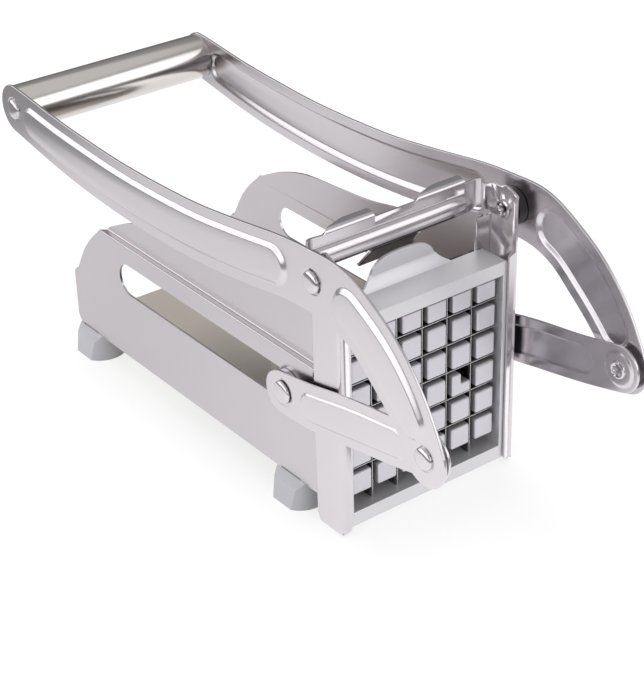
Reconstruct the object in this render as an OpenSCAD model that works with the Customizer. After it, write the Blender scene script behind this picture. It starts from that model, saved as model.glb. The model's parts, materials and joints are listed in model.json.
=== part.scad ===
// Hand-lever cutter that pushes a potato through a square blade grid.
// X is the width, the blade grid faces -Y, the open body runs back to +Y, and Z is up.
// The origin is on the table, in the middle of the closed cutter.

/* [Blade grid] */
// Spacing of the blades, which is the width of one fry
pitch = 12.5; // [10:0.5:13]
// Height of the middle of the grid above the table
grid_height = 50.5; // [50:0.5:54]
// Thickness of each blade
blade_t = 0.8; // [0.5:0.1:1.2]
// Depth of each blade from front to back
blade_depth = 8; // [5:0.5:10]

/* [Blade cartridge] */
// Width of the cartridge rim at each side of the opening
rim_side = 2.1; // [1.8:0.1:4]
// Height of the cartridge rim above the opening
rim_top = 6; // [3:0.5:9]
// Height of the cartridge rim below the opening
rim_bottom = 6.2; // [5:0.1:6.5]
// Distance of the cartridge face in front of the blade edges
face_step = 4; // [2:0.5:6]
// Distance of the cartridge back behind the blades
back_step = 1.9; // [1:0.1:4]
// Width of the guide rib at each side of the cartridge
rib_w = 3.3; // [2:0.1:5]
// Height of the pull tongue above the cartridge
tongue_h = 14; // [8:0.5:14]
// Width of the pull tongue at its foot
tongue_w = 39; // [30:1:50]

/* [Sheet metal] */
// Thickness of the body sheet
sheet_t = 1; // [0.8:0.1:1.5]
// Thickness of the lever and link sheet
lever_t = 1.2; // [1:0.1:1.6]
// Height of the raised panels on the levers
lever_emboss = 1; // [0.5:0.1:1.5]
// Height of the raised panels on the links
link_emboss = 0.9; // [0.5:0.1:1.2]

/* [Uprights and brace] */
// Width of the front flange of each upright
flange_w = 3.6; // [2.5:0.1:4]
// Height of the lever pivot above the table
pivot_height = 111.5; // [108:0.5:120]
// Distance of the lever pivot behind the upright face
pivot_back = 7.8; // [6:0.1:9]
// Height of the brace sheet between the uprights
brace_h = 13.5; // [12:0.5:18]
// Outer radius of the bend between brace and upright
brace_bend = 4.3; // [2:0.1:5]
// Height of the half-round bead in the brace
bead_h = 8.7; // [6:0.1:10]
// Depth of the half-round bead in the brace
bead_d = 3; // [1.5:0.1:3]
// Width of the bent tabs on top of the brace
tab_w = 23; // [15:0.5:26]
// Width of the lip under the brace
lip_w = 23; // [12:1:40]
// Drop of the lip under the brace
lip_h = 9; // [5:0.5:10]

/* [Body] */
// Length of the side panels behind the uprights
body_length = 179.8; // [170:1:200]
// Height of the bottom of the body above the table
body_lift = 12; // [10:0.5:14]
// Height of the ledge where the side panels step inwards
ledge_height = 68; // [64:0.5:72]
// Inward step of the side panels above the ledge
ledge_step = 3; // [1.5:0.1:3]
// Height of the slot in each side panel
slot_h = 14.7; // [12:0.1:16]
// Distance of the rear end of the slot in front of the back of the body
slot_rear = 47.4; // [46:0.1:60]

/* [Lever] */
// Distance from the pivot back to the handle
handle_reach = 217; // [200:1:230]
// Drop of the handle below the pivot
handle_drop = 3; // [0:0.5:6]
// Depth of the lever arms, seen from the side
arm_depth = 26; // [24:0.5:28]
// Distance from the pivot forward to the crank joint
crank_reach = 62.5; // [58:0.5:64]
// Drop of the crank joint below the pivot
crank_drop = 44; // [42:0.5:46]
// Space between the links and the lever arms
arm_gap = 1; // [0.6:0.1:3]
// Diameter of the pivot, crank and axle pins
pin_d = 7; // [5:0.1:8]
// Diameter of the handle tube
handle_d = 20.5; // [16:0.5:20.5]
// Diameter of the rod through the handle
rod_d = 7; // [5:0.5:8]

/* [Pusher] */
// Share of the pitch that each peg fills
peg_share = 0.75; // [0.6:0.01:0.8]
// Distance of the peg faces in front of the blade edges
peg_step = 1.8; // [1:0.1:4]
// Thickness of the plate that carries the pegs
pusher_plate = 4; // [3:0.5:6]
// Depth of the rim behind the peg plate
pusher_rim = 4.5; // [2:0.5:6]
// Distance of the axle behind the front of the peg plate
axle_back = 16.5; // [16:0.5:20]
// Height of the axle above the table
axle_height = 51.8; // [48:0.1:54]
// Radius of the round ends of the links
link_end = 9.8; // [8:0.1:10.5]

/* [Feet] */
// Radius of each foot on the table
foot_r = 11.2; // [9:0.1:12]
// Distance of each foot axis inwards from the body side
foot_inset = 4.5; // [4:0.1:8]
// Distance of the front feet behind the front of the body
foot_front = 17.8; // [15:0.5:30]
// Distance of the rear feet in front of the back of the body
foot_rear = 10.4; // [10:0.1:30]

/* [Hidden] */
$fn = 48;

// One overrun for every cut, and the clearances that the fits use.
over = 1;
slide_gap = 0.3;
pin_gap = 0.06;
blade_gap = 0.05;
layer_gap = 1.2;

// The grid is six cells wide and six cells high.
cells = 6;
blades = [for (i = [1 - cells / 2 : cells / 2 - 1]) i * pitch];
cell_places = [for (i = [0 : cells - 1]) (i + 0.5 - cells / 2) * pitch];

// Opening of the cartridge, from the grid outwards.
opening_half = cells * pitch / 2;
opening_low_gap = 4.5;
opening_top_gap = 1;
opening_bottom = grid_height - cells * pitch / 2 - opening_low_gap;
opening_top = grid_height + cells * pitch / 2 - opening_top_gap;
blade_seat = 1.2;
cartridge_half = opening_half + rim_side;
cartridge_bottom = opening_bottom - rim_bottom;
cartridge_top = opening_top + rim_top;
cartridge_front = -face_step;
cartridge_back = blade_depth + back_step;
rib_top_gap = 3.5;
rib_half = cartridge_half + rib_w;

// Tongue on the cartridge, drawn in shares of its half width and its height.
tongue_t = 1.2;
tongue_lean = 2.8;
tongue_bend_share = 0.4;
tongue_shares = [
    [1.3, -0.15], [1.12, 0.02], [0.93, 0.22], [0.8, 0.48], [0.7, 0.74], [0.5, 0.92],
    [0.25, 0.985], [0, 1]
];

// Widths, from the middle of the cutter outwards.
wall_in = rib_half + slide_gap;
wall_out = wall_in + sheet_t;
panel_out = wall_in;
panel_in = panel_out - sheet_t;
upper_out = panel_out - ledge_step;
upper_in = upper_out - sheet_t;
link_in = wall_out + layer_gap;
link_out = link_in + lever_t;
link_face = link_out + link_emboss;
arm_in = link_face + arm_gap;
arm_out = arm_in + lever_t;
arm_face = arm_out + lever_emboss;

// Uprights.
upright_foot = cartridge_bottom - sheet_t;
upright_front = cartridge_front - slide_gap - sheet_t;
rear_flange = cartridge_back + slide_gap;
upright_back = rear_flange + sheet_t;
rear_flange_w = 5;
lip_under_w = 7;
flange_cut = 1.7;
flange_cut_rise = 1.8;
flange_cut_gap = 1.8;
tab_above = 9;
tab_extra = 1.5;
corner_drop = 3;
corner_run = 8;
upright_top = pivot_height + tab_above;
brace_bottom = upright_top - brace_h;
brace_back = upright_back + tab_extra + brace_bend;
upright_corner_r = 3;
lip_slope_share = 0.73;

// Side panels, with the top edge in shares of the length and the height.
panel_front = upright_back;
body_back = panel_front + body_length;
rear_step = 2;
rear_step_height = 39;
rear_corner_r = 5;
front_flange_w = rear_flange_w;
hump_shares = [
    [0, 1], [0.027, 0.995], [0.071, 0.972], [0.127, 0.926], [0.205, 0.874], [0.299, 0.844],
    [0.391, 0.814], [0.507, 0.796], [0.637, 0.778], [0.73, 0.735], [0.807, 0.677],
    [0.868, 0.617], [0.932, 0.511], [0.975, 0.395], [0.984, 0.367]
];
floor_top = body_lift + sheet_t;
floor_rim_h = 9;
slit_l = 12;
slit_h = 0.8;
slot_spare = 7.5;

// Rivet ends on the floor, which the pusher passes over.
foot_clench_h = 1.2;

// Pivot, crank and axle places, seen from the side.
pivot_y = upright_front + pivot_back;
pivot = [pivot_y, pivot_height];
crank = [pivot_y - crank_reach, pivot_height - crank_drop];
handle = [pivot_y + handle_reach, pivot_height - handle_drop];
pusher_gap = 1.6;
pusher_front = cartridge_back + pusher_gap;
axle_y = pusher_front + axle_back;
axle_at = [axle_y, axle_height];

// Arm: stations along the middle of the arm, each with its half width.
// Behind the pivot: share of the reach, rise and half width as shares of the arm depth.
rear_shares = [
    [1, 0, 0.423], [0.945, -0.055, 0.438], [0.845, -0.19, 0.462], [0.733, -0.26, 0.488],
    [0.597, -0.355, 0.48], [0.46, -0.34, 0.495], [0.333, -0.305, 0.48], [0.21, -0.19, 0.505],
    [0.085, -0.03, 0.485], [0, -0.015, 0.495]
];
// In front of the pivot: shares of the crank reach and drop, and of the arm depth.
front_shares = [
    [0.232, 0.025, 0.515], [0.44, 0.145, 0.5], [0.64, 0.345, 0.515], [0.82, 0.59, 0.485],
    [0.945, 0.835, 0.44], [1, 1, 0.44]
];
arm_stations = concat(
    [for (s = rear_shares) [
        pivot[0] + s[0] * handle_reach,
        pivot[1] - s[0] * handle_drop + s[1] * arm_depth,
        s[2] * arm_depth
    ]],
    [for (s = front_shares) [
        pivot[0] - s[0] * crank_reach,
        pivot[1] - s[1] * crank_drop,
        s[2] * arm_depth
    ]]
);
spline_steps = 4;
arm_path = spline(arm_stations, spline_steps);
// Raised panels cover these shares of the path and stay this far inside the edge.
long_panel_shares = [0.083, 0.517];
crank_panel_shares = [0.7, 0.9];
panel_margin = 5.3;

// Link: share of the way from the axle to the crank joint, then the distance below that
// line and the half width as shares of the end radius.
link_shares = [
    [-0.02, 0.06, 0.94], [0.2, 0.17, 1.03], [0.5, 0.11, 1.07], [0.78, 0.1, 1.03], [1, 0, 1]
];
link_line = unit(crank - axle_at);
link_stations = [for (s = link_shares)
    let (p = axle_at * (1 - s[0]) + crank * s[0] + across(link_line) * s[1] * link_end)
    [p[0], p[1], s[2] * link_end]];
link_path = spline(link_stations, spline_steps);
link_panel_shares = [0.25, 0.75];
link_panel_margin = 4.7;

// Rivets, washers and heads.
head_h = 1.8;
head_r = pin_d * 0.7;
shoulder_r = pin_d;
spacer_r = pin_d * 1.1;
axle_head_h = 1.4;
axle_head_r = pin_d * 0.7;
stud_proud = 0.2;
pivot_end_h = 1.2;
pivot_end_r = pin_d * 0.55;
pivot_hollow_r = pin_d * 0.28;
pivot_hollow_depth = 3;
stem_sink = 0.5;

// Handle.
handle_wall = 1.5;
plug_l = 10;
handle_head_r = 5;

// Pusher.
peg = peg_share * pitch;
peg_round = 0.9;
block_half = opening_half;
block_bottom = floor_top + foot_clench_h + slide_gap;
block_top = opening_top;
block_wall = 2.5;
notch_column = 4;
notch_row = 2;
boss_r = 5;
boss_at = [20, 22];
carrier_t = 1.5;
carrier_side = 0.5;
carrier_half = block_half + carrier_side;
carrier_low = 13;
carrier_high = 13;
cheek_back = 19;
cheek_r = 6;
carrier_front = pusher_front + pusher_plate + pusher_rim;
carrier_rivet_r = 2.5;
carrier_rivet_head = 4.5;
carrier_rivet_h = 1.2;
bush_r = slot_h / 2 - slide_gap;
bush_collar = 2.5;
bush_collar_r = bush_r + bush_collar;
washer_gap = 0.2;
bush_out = panel_out + washer_gap;
washer_cover = 1.5;
washer_r = slot_h / 2 + washer_cover;

// Feet.
foot_x = panel_out - foot_inset;
foot_taper = 1;
foot_top_r = foot_r - foot_taper;
foot_face = 1.6;
foot_face_h = 9;
foot_face_step = 1.8;
foot_hole_r = 2.6;
foot_head_r = 5;
foot_stem = body_lift / 3;
foot_head_h = 1.2;
foot_clench_r = foot_inset - sheet_t - slide_gap;
foot_ys = [panel_front + foot_front, body_back - foot_rear];

// The closed cutter reaches from the crank end to the handle end.
front_end_r = front_shares[len(front_shares) - 1][2] * arm_depth;
rear_end_r = rear_shares[0][2] * arm_depth;
grid_y = -((crank[0] - front_end_r) + (handle[0] + rear_end_r)) / 2;

// Colours as they look.
steel = [0.85, 0.84, 0.87];
steel_dark = [0.62, 0.60, 0.58];
cast = [0.81, 0.81, 0.84];
blade_steel = [0.7, 0.7, 0.73];
foot_grey = [0.6, 0.6, 0.63];
bush_white = [0.88, 0.88, 0.86];

// Point on a smooth curve between b and c.
function smooth_point(a, b, c, d, t) =
    0.5 * (2 * b + (c - a) * t + (2 * a - 5 * b + 4 * c - d) * t * t
    + (3 * b - a - 3 * c + d) * t * t * t);

// Smooth curve through all the points.
function spline(pts, steps) = concat(
    [for (i = [0 : len(pts) - 2], k = [0 : steps - 1]) smooth_point(
        pts[max(i - 1, 0)], pts[i], pts[i + 1], pts[min(i + 2, len(pts) - 1)], k / steps)],
    [pts[len(pts) - 1]]
);

function flat(p) = [p[0], p[1]];

function unit(v) = v / norm(v);

// Direction of a path at one of its points.
function heading(path, i) =
    unit(flat(path[min(i + 1, len(path) - 1)]) - flat(path[max(i - 1, 0)]));

// Part of a path, between two shares of it.
function stretch(path, shares) =
    [for (i = [round(shares[0] * (len(path) - 1)) : round(shares[1] * (len(path) - 1))]) path[i]];

// Direction across a heading, to its left.
function across(h) = [-h[1], h[0]];

// Outline of a band along a path with half widths, with round ends.
function band(path, grow) = let (
    last = len(path) - 1,
    side = [for (i = [0 : last]) flat(path[i]) + across(heading(path, i)) * (path[i][2] + grow)],
    other = [for (i = [last : -1 : 0]) flat(path[i]) - across(heading(path, i)) * (path[i][2] + grow)],
    start = heading(path, 0),
    stop = heading(path, last),
    stop_cap = [for (a = [15 : 15 : 165])
        flat(path[last]) + (across(stop) * cos(a) + stop * sin(a)) * (path[last][2] + grow)],
    start_cap = [for (a = [15 : 15 : 165])
        flat(path[0]) - (across(start) * cos(a) + start * sin(a)) * (path[0][2] + grow)]
) concat(side, stop_cap, other, start_cap);

// Corners of an outline turned into arcs; each point is x, y and a radius.
function rounded(pts, n = 6) = [for (i = [0 : len(pts) - 1])
    let (
        count = len(pts),
        p = flat(pts[i]),
        r = pts[i][2],
        u = unit(flat(pts[(i + count - 1) % count]) - p),
        v = unit(flat(pts[(i + 1) % count]) - p),
        half = acos(u * v) / 2,
        middle = p + unit(u + v) * r / sin(half),
        from = p + u * r / tan(half) - middle,
        to = p + v * r / tan(half) - middle,
        a = atan2(from[1], from[0]),
        turn = (atan2(to[1], to[0]) - a + 540) % 360 - 180
    )
    each r == 0 ? [p] : [for (k = [0 : n]) middle + r * [cos(a + turn * k / n), sin(a + turn * k / n)]]];

// Puts a piece drawn from the blade edges into the cutter's own frame.
module placed() {
    translate([0, grid_y, 0]) children();
}

// Right pieces are drawn at +X, and left pieces are their mirror image.
module sided(left) {
    placed() mirror([left ? 1 : 0, 0, 0]) children();
}

// Plate across X whose outline is drawn in Y and Z.
module plate(x, t) {
    translate([x, 0, 0]) rotate([90, 0, 90]) linear_extrude(t) children();
}

// Plate across Y whose outline is drawn in X and Z.
module facing(y, t) {
    translate([0, y + t, 0]) rotate([90, 0, 0]) linear_extrude(t) children();
}

module box(from, to) {
    translate(from) cube(to - from);
}

// Round pin along X at a place seen from the side.
module pin(x, l, at, r) {
    translate([x, at[0], at[1]]) rotate([0, 90, 0]) cylinder(h = l, r = r);
}

// Low domed head along X.
module dome(x, h, at, r) {
    big = (r * r + h * h) / (2 * h);
    turn = asin(r / big);
    translate([x, at[0], at[1]]) rotate([0, 90, 0]) rotate_extrude() polygon(concat(
        [[0, 0]],
        [for (k = [6 : -1 : 0]) [big * sin(turn * k / 6), h - big + big * cos(turn * k / 6)]]
    ));
}

// Side panel.

function panel_outline() = concat(
    [[panel_front, body_lift]],
    [for (p = spline([for (s = hump_shares)
        [panel_front + s[0] * body_length, s[1] * brace_bottom]], 2)) p],
    [
        [body_back - rear_step, rear_step_height + rear_step / 2],
        [body_back, rear_step_height - rear_step / 2]
    ],
    [for (a = [0 : 15 : 90]) [
        body_back - rear_corner_r + rear_corner_r * cos(a),
        body_lift + rear_corner_r - rear_corner_r * sin(a)
    ]]
);

module side_slot() {
    reach = [axle_y - slot_spare, body_back - slot_rear];
    plate(upper_in - over, ledge_step + sheet_t + 2 * over)
        translate([reach[0], axle_height - slot_h / 2]) square([reach[1] - reach[0], slot_h]);
    for (y = reach) pin(upper_in - over, ledge_step + sheet_t + 2 * over, [y, axle_height], slot_h / 2);
}

module side_panel(left) {
    color(steel) sided(left) difference() {
        union() {
            intersection() {
                plate(panel_in, sheet_t) polygon(panel_outline());
                box([panel_in - over, panel_front - over, 0], [panel_out + over, body_back + over, ledge_height]);
            }
            intersection() {
                plate(upper_in, sheet_t) polygon(panel_outline());
                box([upper_in - over, panel_front - over, ledge_height - sheet_t],
                    [upper_out + over, body_back + over, brace_bottom + over]);
            }
            intersection() {
                plate(upper_in, ledge_step + sheet_t) polygon(panel_outline());
                box([upper_in - over, panel_front - over, ledge_height - sheet_t],
                    [panel_out + over, body_back + over, ledge_height]);
            }
            box([panel_out - front_flange_w, panel_front, body_lift],
                [panel_out, panel_front + sheet_t, ledge_height]);
        }
        side_slot();
        for (y = foot_ys) box([panel_in - over, y - slit_l / 2, body_lift - over],
            [panel_out + over, y + slit_l / 2, body_lift + slit_h]);
    }
}

// Floor between the side panels, with a low rim inside each panel, open beside the feet.
module floor_tray() {
    color(steel_dark) placed() difference() {
        union() {
            box([-panel_in, panel_front + sheet_t, body_lift], [panel_in, body_back, floor_top]);
            for (m = [0, 1]) mirror([m, 0, 0]) box(
                [panel_in - sheet_t, panel_front + sheet_t, body_lift],
                [panel_in, body_back - rear_corner_r, body_lift + floor_rim_h]);
        }
        for (m = [0, 1], y = foot_ys) mirror([m, 0, 0]) {
            translate([foot_x, y, body_lift - over]) cylinder(h = sheet_t + 2 * over, r = foot_hole_r);
            box([panel_in - sheet_t - over, y - foot_clench_r - slide_gap, floor_top],
                [panel_in + over, y + foot_clench_r + slide_gap, body_lift + floor_rim_h + over]);
        }
    }
}

// Upright channel at the side of the cartridge.

module upright(left) {
    flange_in = wall_out - flange_w;
    cut_z = cartridge_top + flange_cut_gap;
    color(steel) sided(left) difference() {
        union() {
            plate(wall_in, sheet_t) polygon(rounded([
                [upright_front, upright_foot, upright_corner_r],
                [upright_front, upright_top - corner_drop, corner_drop],
                [upright_front + corner_run, upright_top, corner_run / 2],
                [upright_back + tab_extra, upright_top, 0],
                [upright_back + tab_extra, brace_bottom, 0],
                [upright_back, brace_bottom, 0],
                [upright_back, upright_foot, upright_corner_r]
            ]));
            facing(upright_front, sheet_t) polygon(rounded([
                [wall_out, upright_foot + upright_corner_r / 2, 0],
                [wall_out - upright_corner_r / 2, upright_foot, 0],
                [flange_in, upright_foot, upright_corner_r / 3],
                [flange_in, cut_z, 0],
                [flange_in + flange_cut, cut_z + flange_cut_rise, 0],
                [flange_in + flange_cut, upright_top - corner_drop - flange_w + flange_cut, 0],
                [wall_out, upright_top - corner_drop, 0]
            ]));
            facing(rear_flange, sheet_t) polygon([
                [wall_out, upright_foot + upright_corner_r],
                [wall_out - rear_flange_w, upright_foot + upright_corner_r],
                [wall_out - rear_flange_w, brace_bottom - rear_flange_w / 2],
                [wall_out - rear_flange_w / 2, brace_bottom],
                [wall_out, brace_bottom]
            ]);
            box([wall_out - sheet_t - lip_under_w, upright_front + upright_corner_r, upright_foot],
                [wall_out, upright_back - upright_corner_r, upright_foot + sheet_t]);
        }
        pin(wall_in - over, sheet_t + 2 * over, pivot, pin_d / 2);
    }
}

// Brace sheet between the uprights, with its bead, bent tabs and lip.

module cross_brace() {
    flat_half = wall_out - brace_bend;
    bead_half = flat_half - brace_bend - sheet_t;
    bead_r = (bead_h * bead_h / 4 + bead_d * bead_d) / (2 * bead_d);
    bead_z = brace_bottom + bead_h / 2;
    front = brace_back - sheet_t;
    bead_y = front - bead_d + bead_r;
    tab_in = flat_half - tab_w - brace_bend;
    color(steel) placed() {
        difference() {
            union() {
                box([-flat_half, front, brace_bottom], [flat_half, brace_back, upright_top]);
                intersection() {
                    translate([-bead_half, bead_y, bead_z]) rotate([0, 90, 0])
                        cylinder(h = 2 * bead_half, r = bead_r);
                    box([-bead_half, front - bead_d - over, brace_bottom],
                        [bead_half, front + sheet_t / 2, brace_bottom + bead_h]);
                }
            }
            intersection() {
                translate([-bead_half + sheet_t, bead_y, bead_z]) rotate([0, 90, 0])
                    cylinder(h = 2 * (bead_half - sheet_t), r = bead_r - sheet_t);
                box([-bead_half, front - bead_d, brace_bottom],
                    [bead_half, brace_back + over, brace_bottom + bead_h]);
            }
        }
        for (m = [0, 1]) mirror([m, 0, 0]) {
            translate([flat_half, upright_back + tab_extra, brace_bottom])
                intersection() {
                    difference() {
                        cylinder(h = brace_h, r = brace_bend);
                        translate([0, 0, -over]) cylinder(h = brace_h + 2 * over, r = brace_bend - sheet_t);
                    }
                    cube([brace_bend + over, brace_bend + over, brace_h]);
                }
            translate([0, 0, upright_top]) linear_extrude(sheet_t) polygon(rounded([
                [tab_in, front, 0],
                [tab_in + tab_w, front, 0],
                [tab_in + tab_w, brace_back + brace_bend, brace_bend / 3],
                [tab_in, brace_back + brace_bend, brace_bend / 3]
            ]));
        }
        plate(-lip_w / 2, lip_w) polygon([
            [front, brace_bottom],
            [brace_back, brace_bottom],
            [brace_back + lip_h * lip_slope_share, brace_bottom - lip_h],
            [brace_back + lip_h * lip_slope_share - sheet_t, brace_bottom - lip_h]
        ]);
    }
}

// Cartridge that holds the blades and slides in from above.

module tongue() {
    half = [for (s = tongue_shares) [s[0] * tongue_w / 2, cartridge_top + s[1] * tongue_h]];
    bend_z = cartridge_top + tongue_bend_share * tongue_h;
    foot_y = cartridge_back - tongue_t;
    intersection() {
        facing(cartridge_front, cartridge_back - cartridge_front + tongue_lean + over)
            polygon(concat(spline(half, 3), [for (i = [len(half) - 1 : -1 : 0]) [-half[i][0], half[i][1]]]));
        plate(-tongue_w, 2 * tongue_w) polygon([
            [foot_y, cartridge_top - rim_top / 4],
            [cartridge_back, cartridge_top - rim_top / 4],
            [cartridge_back + tongue_lean, bend_z],
            [cartridge_back + tongue_lean, cartridge_top + tongue_h + over],
            [foot_y + tongue_lean, cartridge_top + tongue_h + over],
            [foot_y + tongue_lean, bend_z]
        ]);
    }
}

module blade_cartridge() {
    depth = cartridge_back - cartridge_front;
    color(cast) placed() {
        difference() {
            union() {
                box([-cartridge_half, cartridge_front, cartridge_bottom],
                    [cartridge_half, cartridge_back, cartridge_top]);
                for (m = [0, 1]) mirror([m, 0, 0]) box(
                    [cartridge_half - over, cartridge_front + rim_side, cartridge_bottom],
                    [rib_half, cartridge_back, cartridge_top - rib_top_gap]);
            }
            box([-opening_half, cartridge_front - over, opening_bottom],
                [opening_half, cartridge_back + over, opening_top]);
            for (b = blades) {
                box([b - blade_t / 2 - blade_gap, -blade_gap, opening_bottom - blade_seat - blade_gap],
                    [b + blade_t / 2 + blade_gap, cartridge_back + over, opening_top + blade_seat + blade_gap]);
                translate([0, 0, grid_height])
                    box([-opening_half - blade_seat - blade_gap, -blade_gap, b - blade_t / 2 - blade_gap],
                        [opening_half + blade_seat + blade_gap, cartridge_back + over,
                        b + blade_t / 2 + blade_gap]);
            }
        }
        tongue();
    }
}

// Each upright blade is notched from the front, each level blade from the back.

module vertical_blades() {
    color(blade_steel) placed() for (x = blades) difference() {
        box([x - blade_t / 2, 0, opening_bottom - blade_seat], [x + blade_t / 2, blade_depth, opening_top + blade_seat]);
        for (z = blades) translate([0, 0, grid_height]) box(
            [x - blade_t, -over, z - blade_t / 2 - blade_gap],
            [x + blade_t, blade_depth / 2 + blade_gap, z + blade_t / 2 + blade_gap]);
    }
}

module horizontal_blades() {
    color(blade_steel) placed() translate([0, 0, grid_height]) for (z = blades) difference() {
        box([-opening_half - blade_seat, 0, z - blade_t / 2], [opening_half + blade_seat, blade_depth, z + blade_t / 2]);
        for (x = blades) box(
            [x - blade_t / 2 - blade_gap, blade_depth / 2 - blade_gap, z - blade_t],
            [x + blade_t / 2 + blade_gap, blade_depth + over, z + blade_t]);
    }
}

// Feet.

module foot(left, y) {
    face_x = foot_x + foot_r - foot_face;
    color(foot_grey) sided(left) translate([0, y, 0]) difference() {
        intersection() {
            translate([foot_x, 0, 0]) cylinder(h = body_lift, r1 = foot_r, r2 = foot_top_r);
            facing(-foot_r - over, 2 * (foot_r + over)) polygon([
                [foot_x - foot_r - over, 0],
                [face_x, 0],
                [face_x - foot_face_step, foot_face_h],
                [panel_out, body_lift],
                [foot_x - foot_r - over, body_lift]
            ]);
        }
        translate([foot_x, 0, -over]) cylinder(h = body_lift + 2 * over, r = foot_hole_r);
        translate([foot_x, 0, -over]) cylinder(h = foot_stem + over, r = foot_head_r);
    }
}

module foot_rivets() {
    color(steel_dark) placed() for (m = [0, 1], y = foot_ys) mirror([m, 0, 0])
        translate([foot_x, y, 0]) {
            translate([0, 0, foot_stem]) cylinder(h = floor_top - foot_stem + foot_clench_h / 2, r = foot_hole_r);
            translate([0, 0, foot_stem - foot_head_h]) cylinder(h = foot_head_h, r = foot_head_r);
            translate([0, 0, floor_top]) cylinder(h = foot_clench_h, r = foot_clench_r);
        }
}

// Pivot of the lever on the upright.

module pivot_rivet(left) {
    color(steel) sided(left) difference() {
        union() {
            pin(wall_in - pivot_end_h, arm_out + slide_gap - wall_in + pivot_end_h + stem_sink, pivot, pin_d / 2);
            pin(wall_in - pivot_end_h, pivot_end_h, pivot, pivot_end_r);
            dome(arm_out + slide_gap, head_h, pivot, head_r);
        }
        pin(wall_in - pivot_end_h - over, pivot_hollow_depth + over, pivot, pivot_hollow_r);
    }
}

module pivot_spacer(left) {
    color(steel) sided(left) difference() {
        pin(wall_out, arm_in - slide_gap - wall_out, pivot, spacer_r);
        pin(wall_out - over, arm_in - wall_out + 2 * over, pivot, pin_d / 2);
    }
}

// Lever.

module raised_panel(path, margin, web, face) {
    plate(web, face - web) polygon(band(path, -margin));
}

module arm(left) {
    long_panel = stretch(arm_path, long_panel_shares);
    crank_panel = stretch(arm_path, crank_panel_shares);
    color(steel) sided(left) difference() {
        union() {
            plate(arm_in, lever_t) polygon(band(arm_path, 0));
            raised_panel(long_panel, panel_margin, arm_in, arm_face);
            raised_panel(crank_panel, panel_margin, arm_in, arm_face);
        }
        raised_panel(long_panel, panel_margin + lever_t, arm_in - over, arm_face - lever_t);
        raised_panel(crank_panel, panel_margin + lever_t, arm_in - over, arm_face - lever_t);
        pin(arm_in - over, lever_t + 2 * over, pivot, pin_d / 2 + pin_gap);
        pin(arm_in - over, lever_t + lever_emboss + 2 * over, crank, pin_d / 2);
        pin(arm_in - over, lever_t + lever_emboss + 2 * over, handle, rod_d / 2);
    }
}

module crank_rivet(left) {
    color(steel) sided(left) {
        pin(link_face + slide_gap, arm_in - link_face - slide_gap, crank, shoulder_r);
        pin(arm_in, lever_t, crank, pin_d / 2);
        dome(arm_out, head_h, crank, head_r);
    }
}

module handle_tube() {
    color(steel) placed() difference() {
        pin(-arm_in, 2 * arm_in, handle, handle_d / 2);
        pin(-arm_in - over, 2 * (arm_in + over), handle, handle_d / 2 - handle_wall);
    }
}

module handle_plugs() {
    color(bush_white) for (left = [true, false]) sided(left) difference() {
        pin(arm_in - plug_l, plug_l, handle, handle_d / 2 - handle_wall);
        pin(arm_in - plug_l - over, plug_l + 2 * over, handle, rod_d / 2);
    }
}

module handle_rod() {
    color(steel) placed() {
        pin(-arm_out - stem_sink, 2 * (arm_out + stem_sink), handle, rod_d / 2);
        for (m = [0, 1]) mirror([m, 0, 0]) dome(arm_out, head_h, handle, handle_head_r);
    }
}

// Pusher with its pegs, carrier, axle and bushes.

module pegs() {
    for (x = cell_places, z = cell_places) translate([x, 0, grid_height + z])
        facing(-peg_step, peg_step + pusher_front + over) polygon(rounded([
            [-peg / 2, -peg / 2, peg_round],
            [peg / 2, -peg / 2, peg_round],
            [peg / 2, peg / 2, peg_round],
            [-peg / 2, peg / 2, peg_round]
        ], 2));
}

module pusher_block() {
    rim_y = pusher_front + pusher_plate;
    color(cast) placed() difference() {
        union() {
            pegs();
            box([-block_half, pusher_front, block_bottom], [block_half, carrier_front, block_top]);
        }
        difference() {
            box([-block_half + block_wall, rim_y, block_bottom + block_wall],
                [block_half - block_wall, carrier_front + over, block_top - block_wall]);
            for (x = [-1, 1], z = [-1, 1]) translate([x * boss_at[0], rim_y - over, grid_height + z * boss_at[1]])
                rotate([-90, 0, 0]) cylinder(h = pusher_rim + 3 * over, r = boss_r);
        }
        for (x = [-1, 1], z = [-1, 1]) translate([x * boss_at[0], rim_y, grid_height + z * boss_at[1]])
            rotate([-90, 0, 0]) cylinder(h = pusher_rim + over, r = carrier_rivet_r);
        translate([cell_places[notch_column], -peg_step - over, grid_height + cell_places[notch_row]])
            cube([peg, peg_step + blade_depth / 2, peg]);
    }
}

module pusher_carrier() {
    low = axle_height - carrier_low;
    high = axle_height + carrier_high;
    color(steel_dark) placed() difference() {
        union() {
            box([-carrier_half, carrier_front, grid_height - boss_at[1] - boss_r],
                [carrier_half, carrier_front + carrier_t, grid_height + boss_at[1] + boss_r]);
            for (m = [0, 1]) mirror([m, 0, 0]) plate(carrier_half - carrier_t, carrier_t) polygon(rounded([
                [carrier_front, low, 0],
                [axle_y + cheek_back, low, cheek_r],
                [axle_y + cheek_back, high, cheek_r],
                [carrier_front, high, 0]
            ]));
        }
        for (m = [0, 1]) mirror([m, 0, 0]) pin(carrier_half - carrier_t - over, carrier_t + 2 * over, axle_at, pin_d / 2);
        for (x = [-1, 1], z = [-1, 1]) translate([x * boss_at[0], carrier_front - over, grid_height + z * boss_at[1]])
            rotate([-90, 0, 0]) cylinder(h = carrier_t + 2 * over, r = carrier_rivet_r);
    }
}

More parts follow.
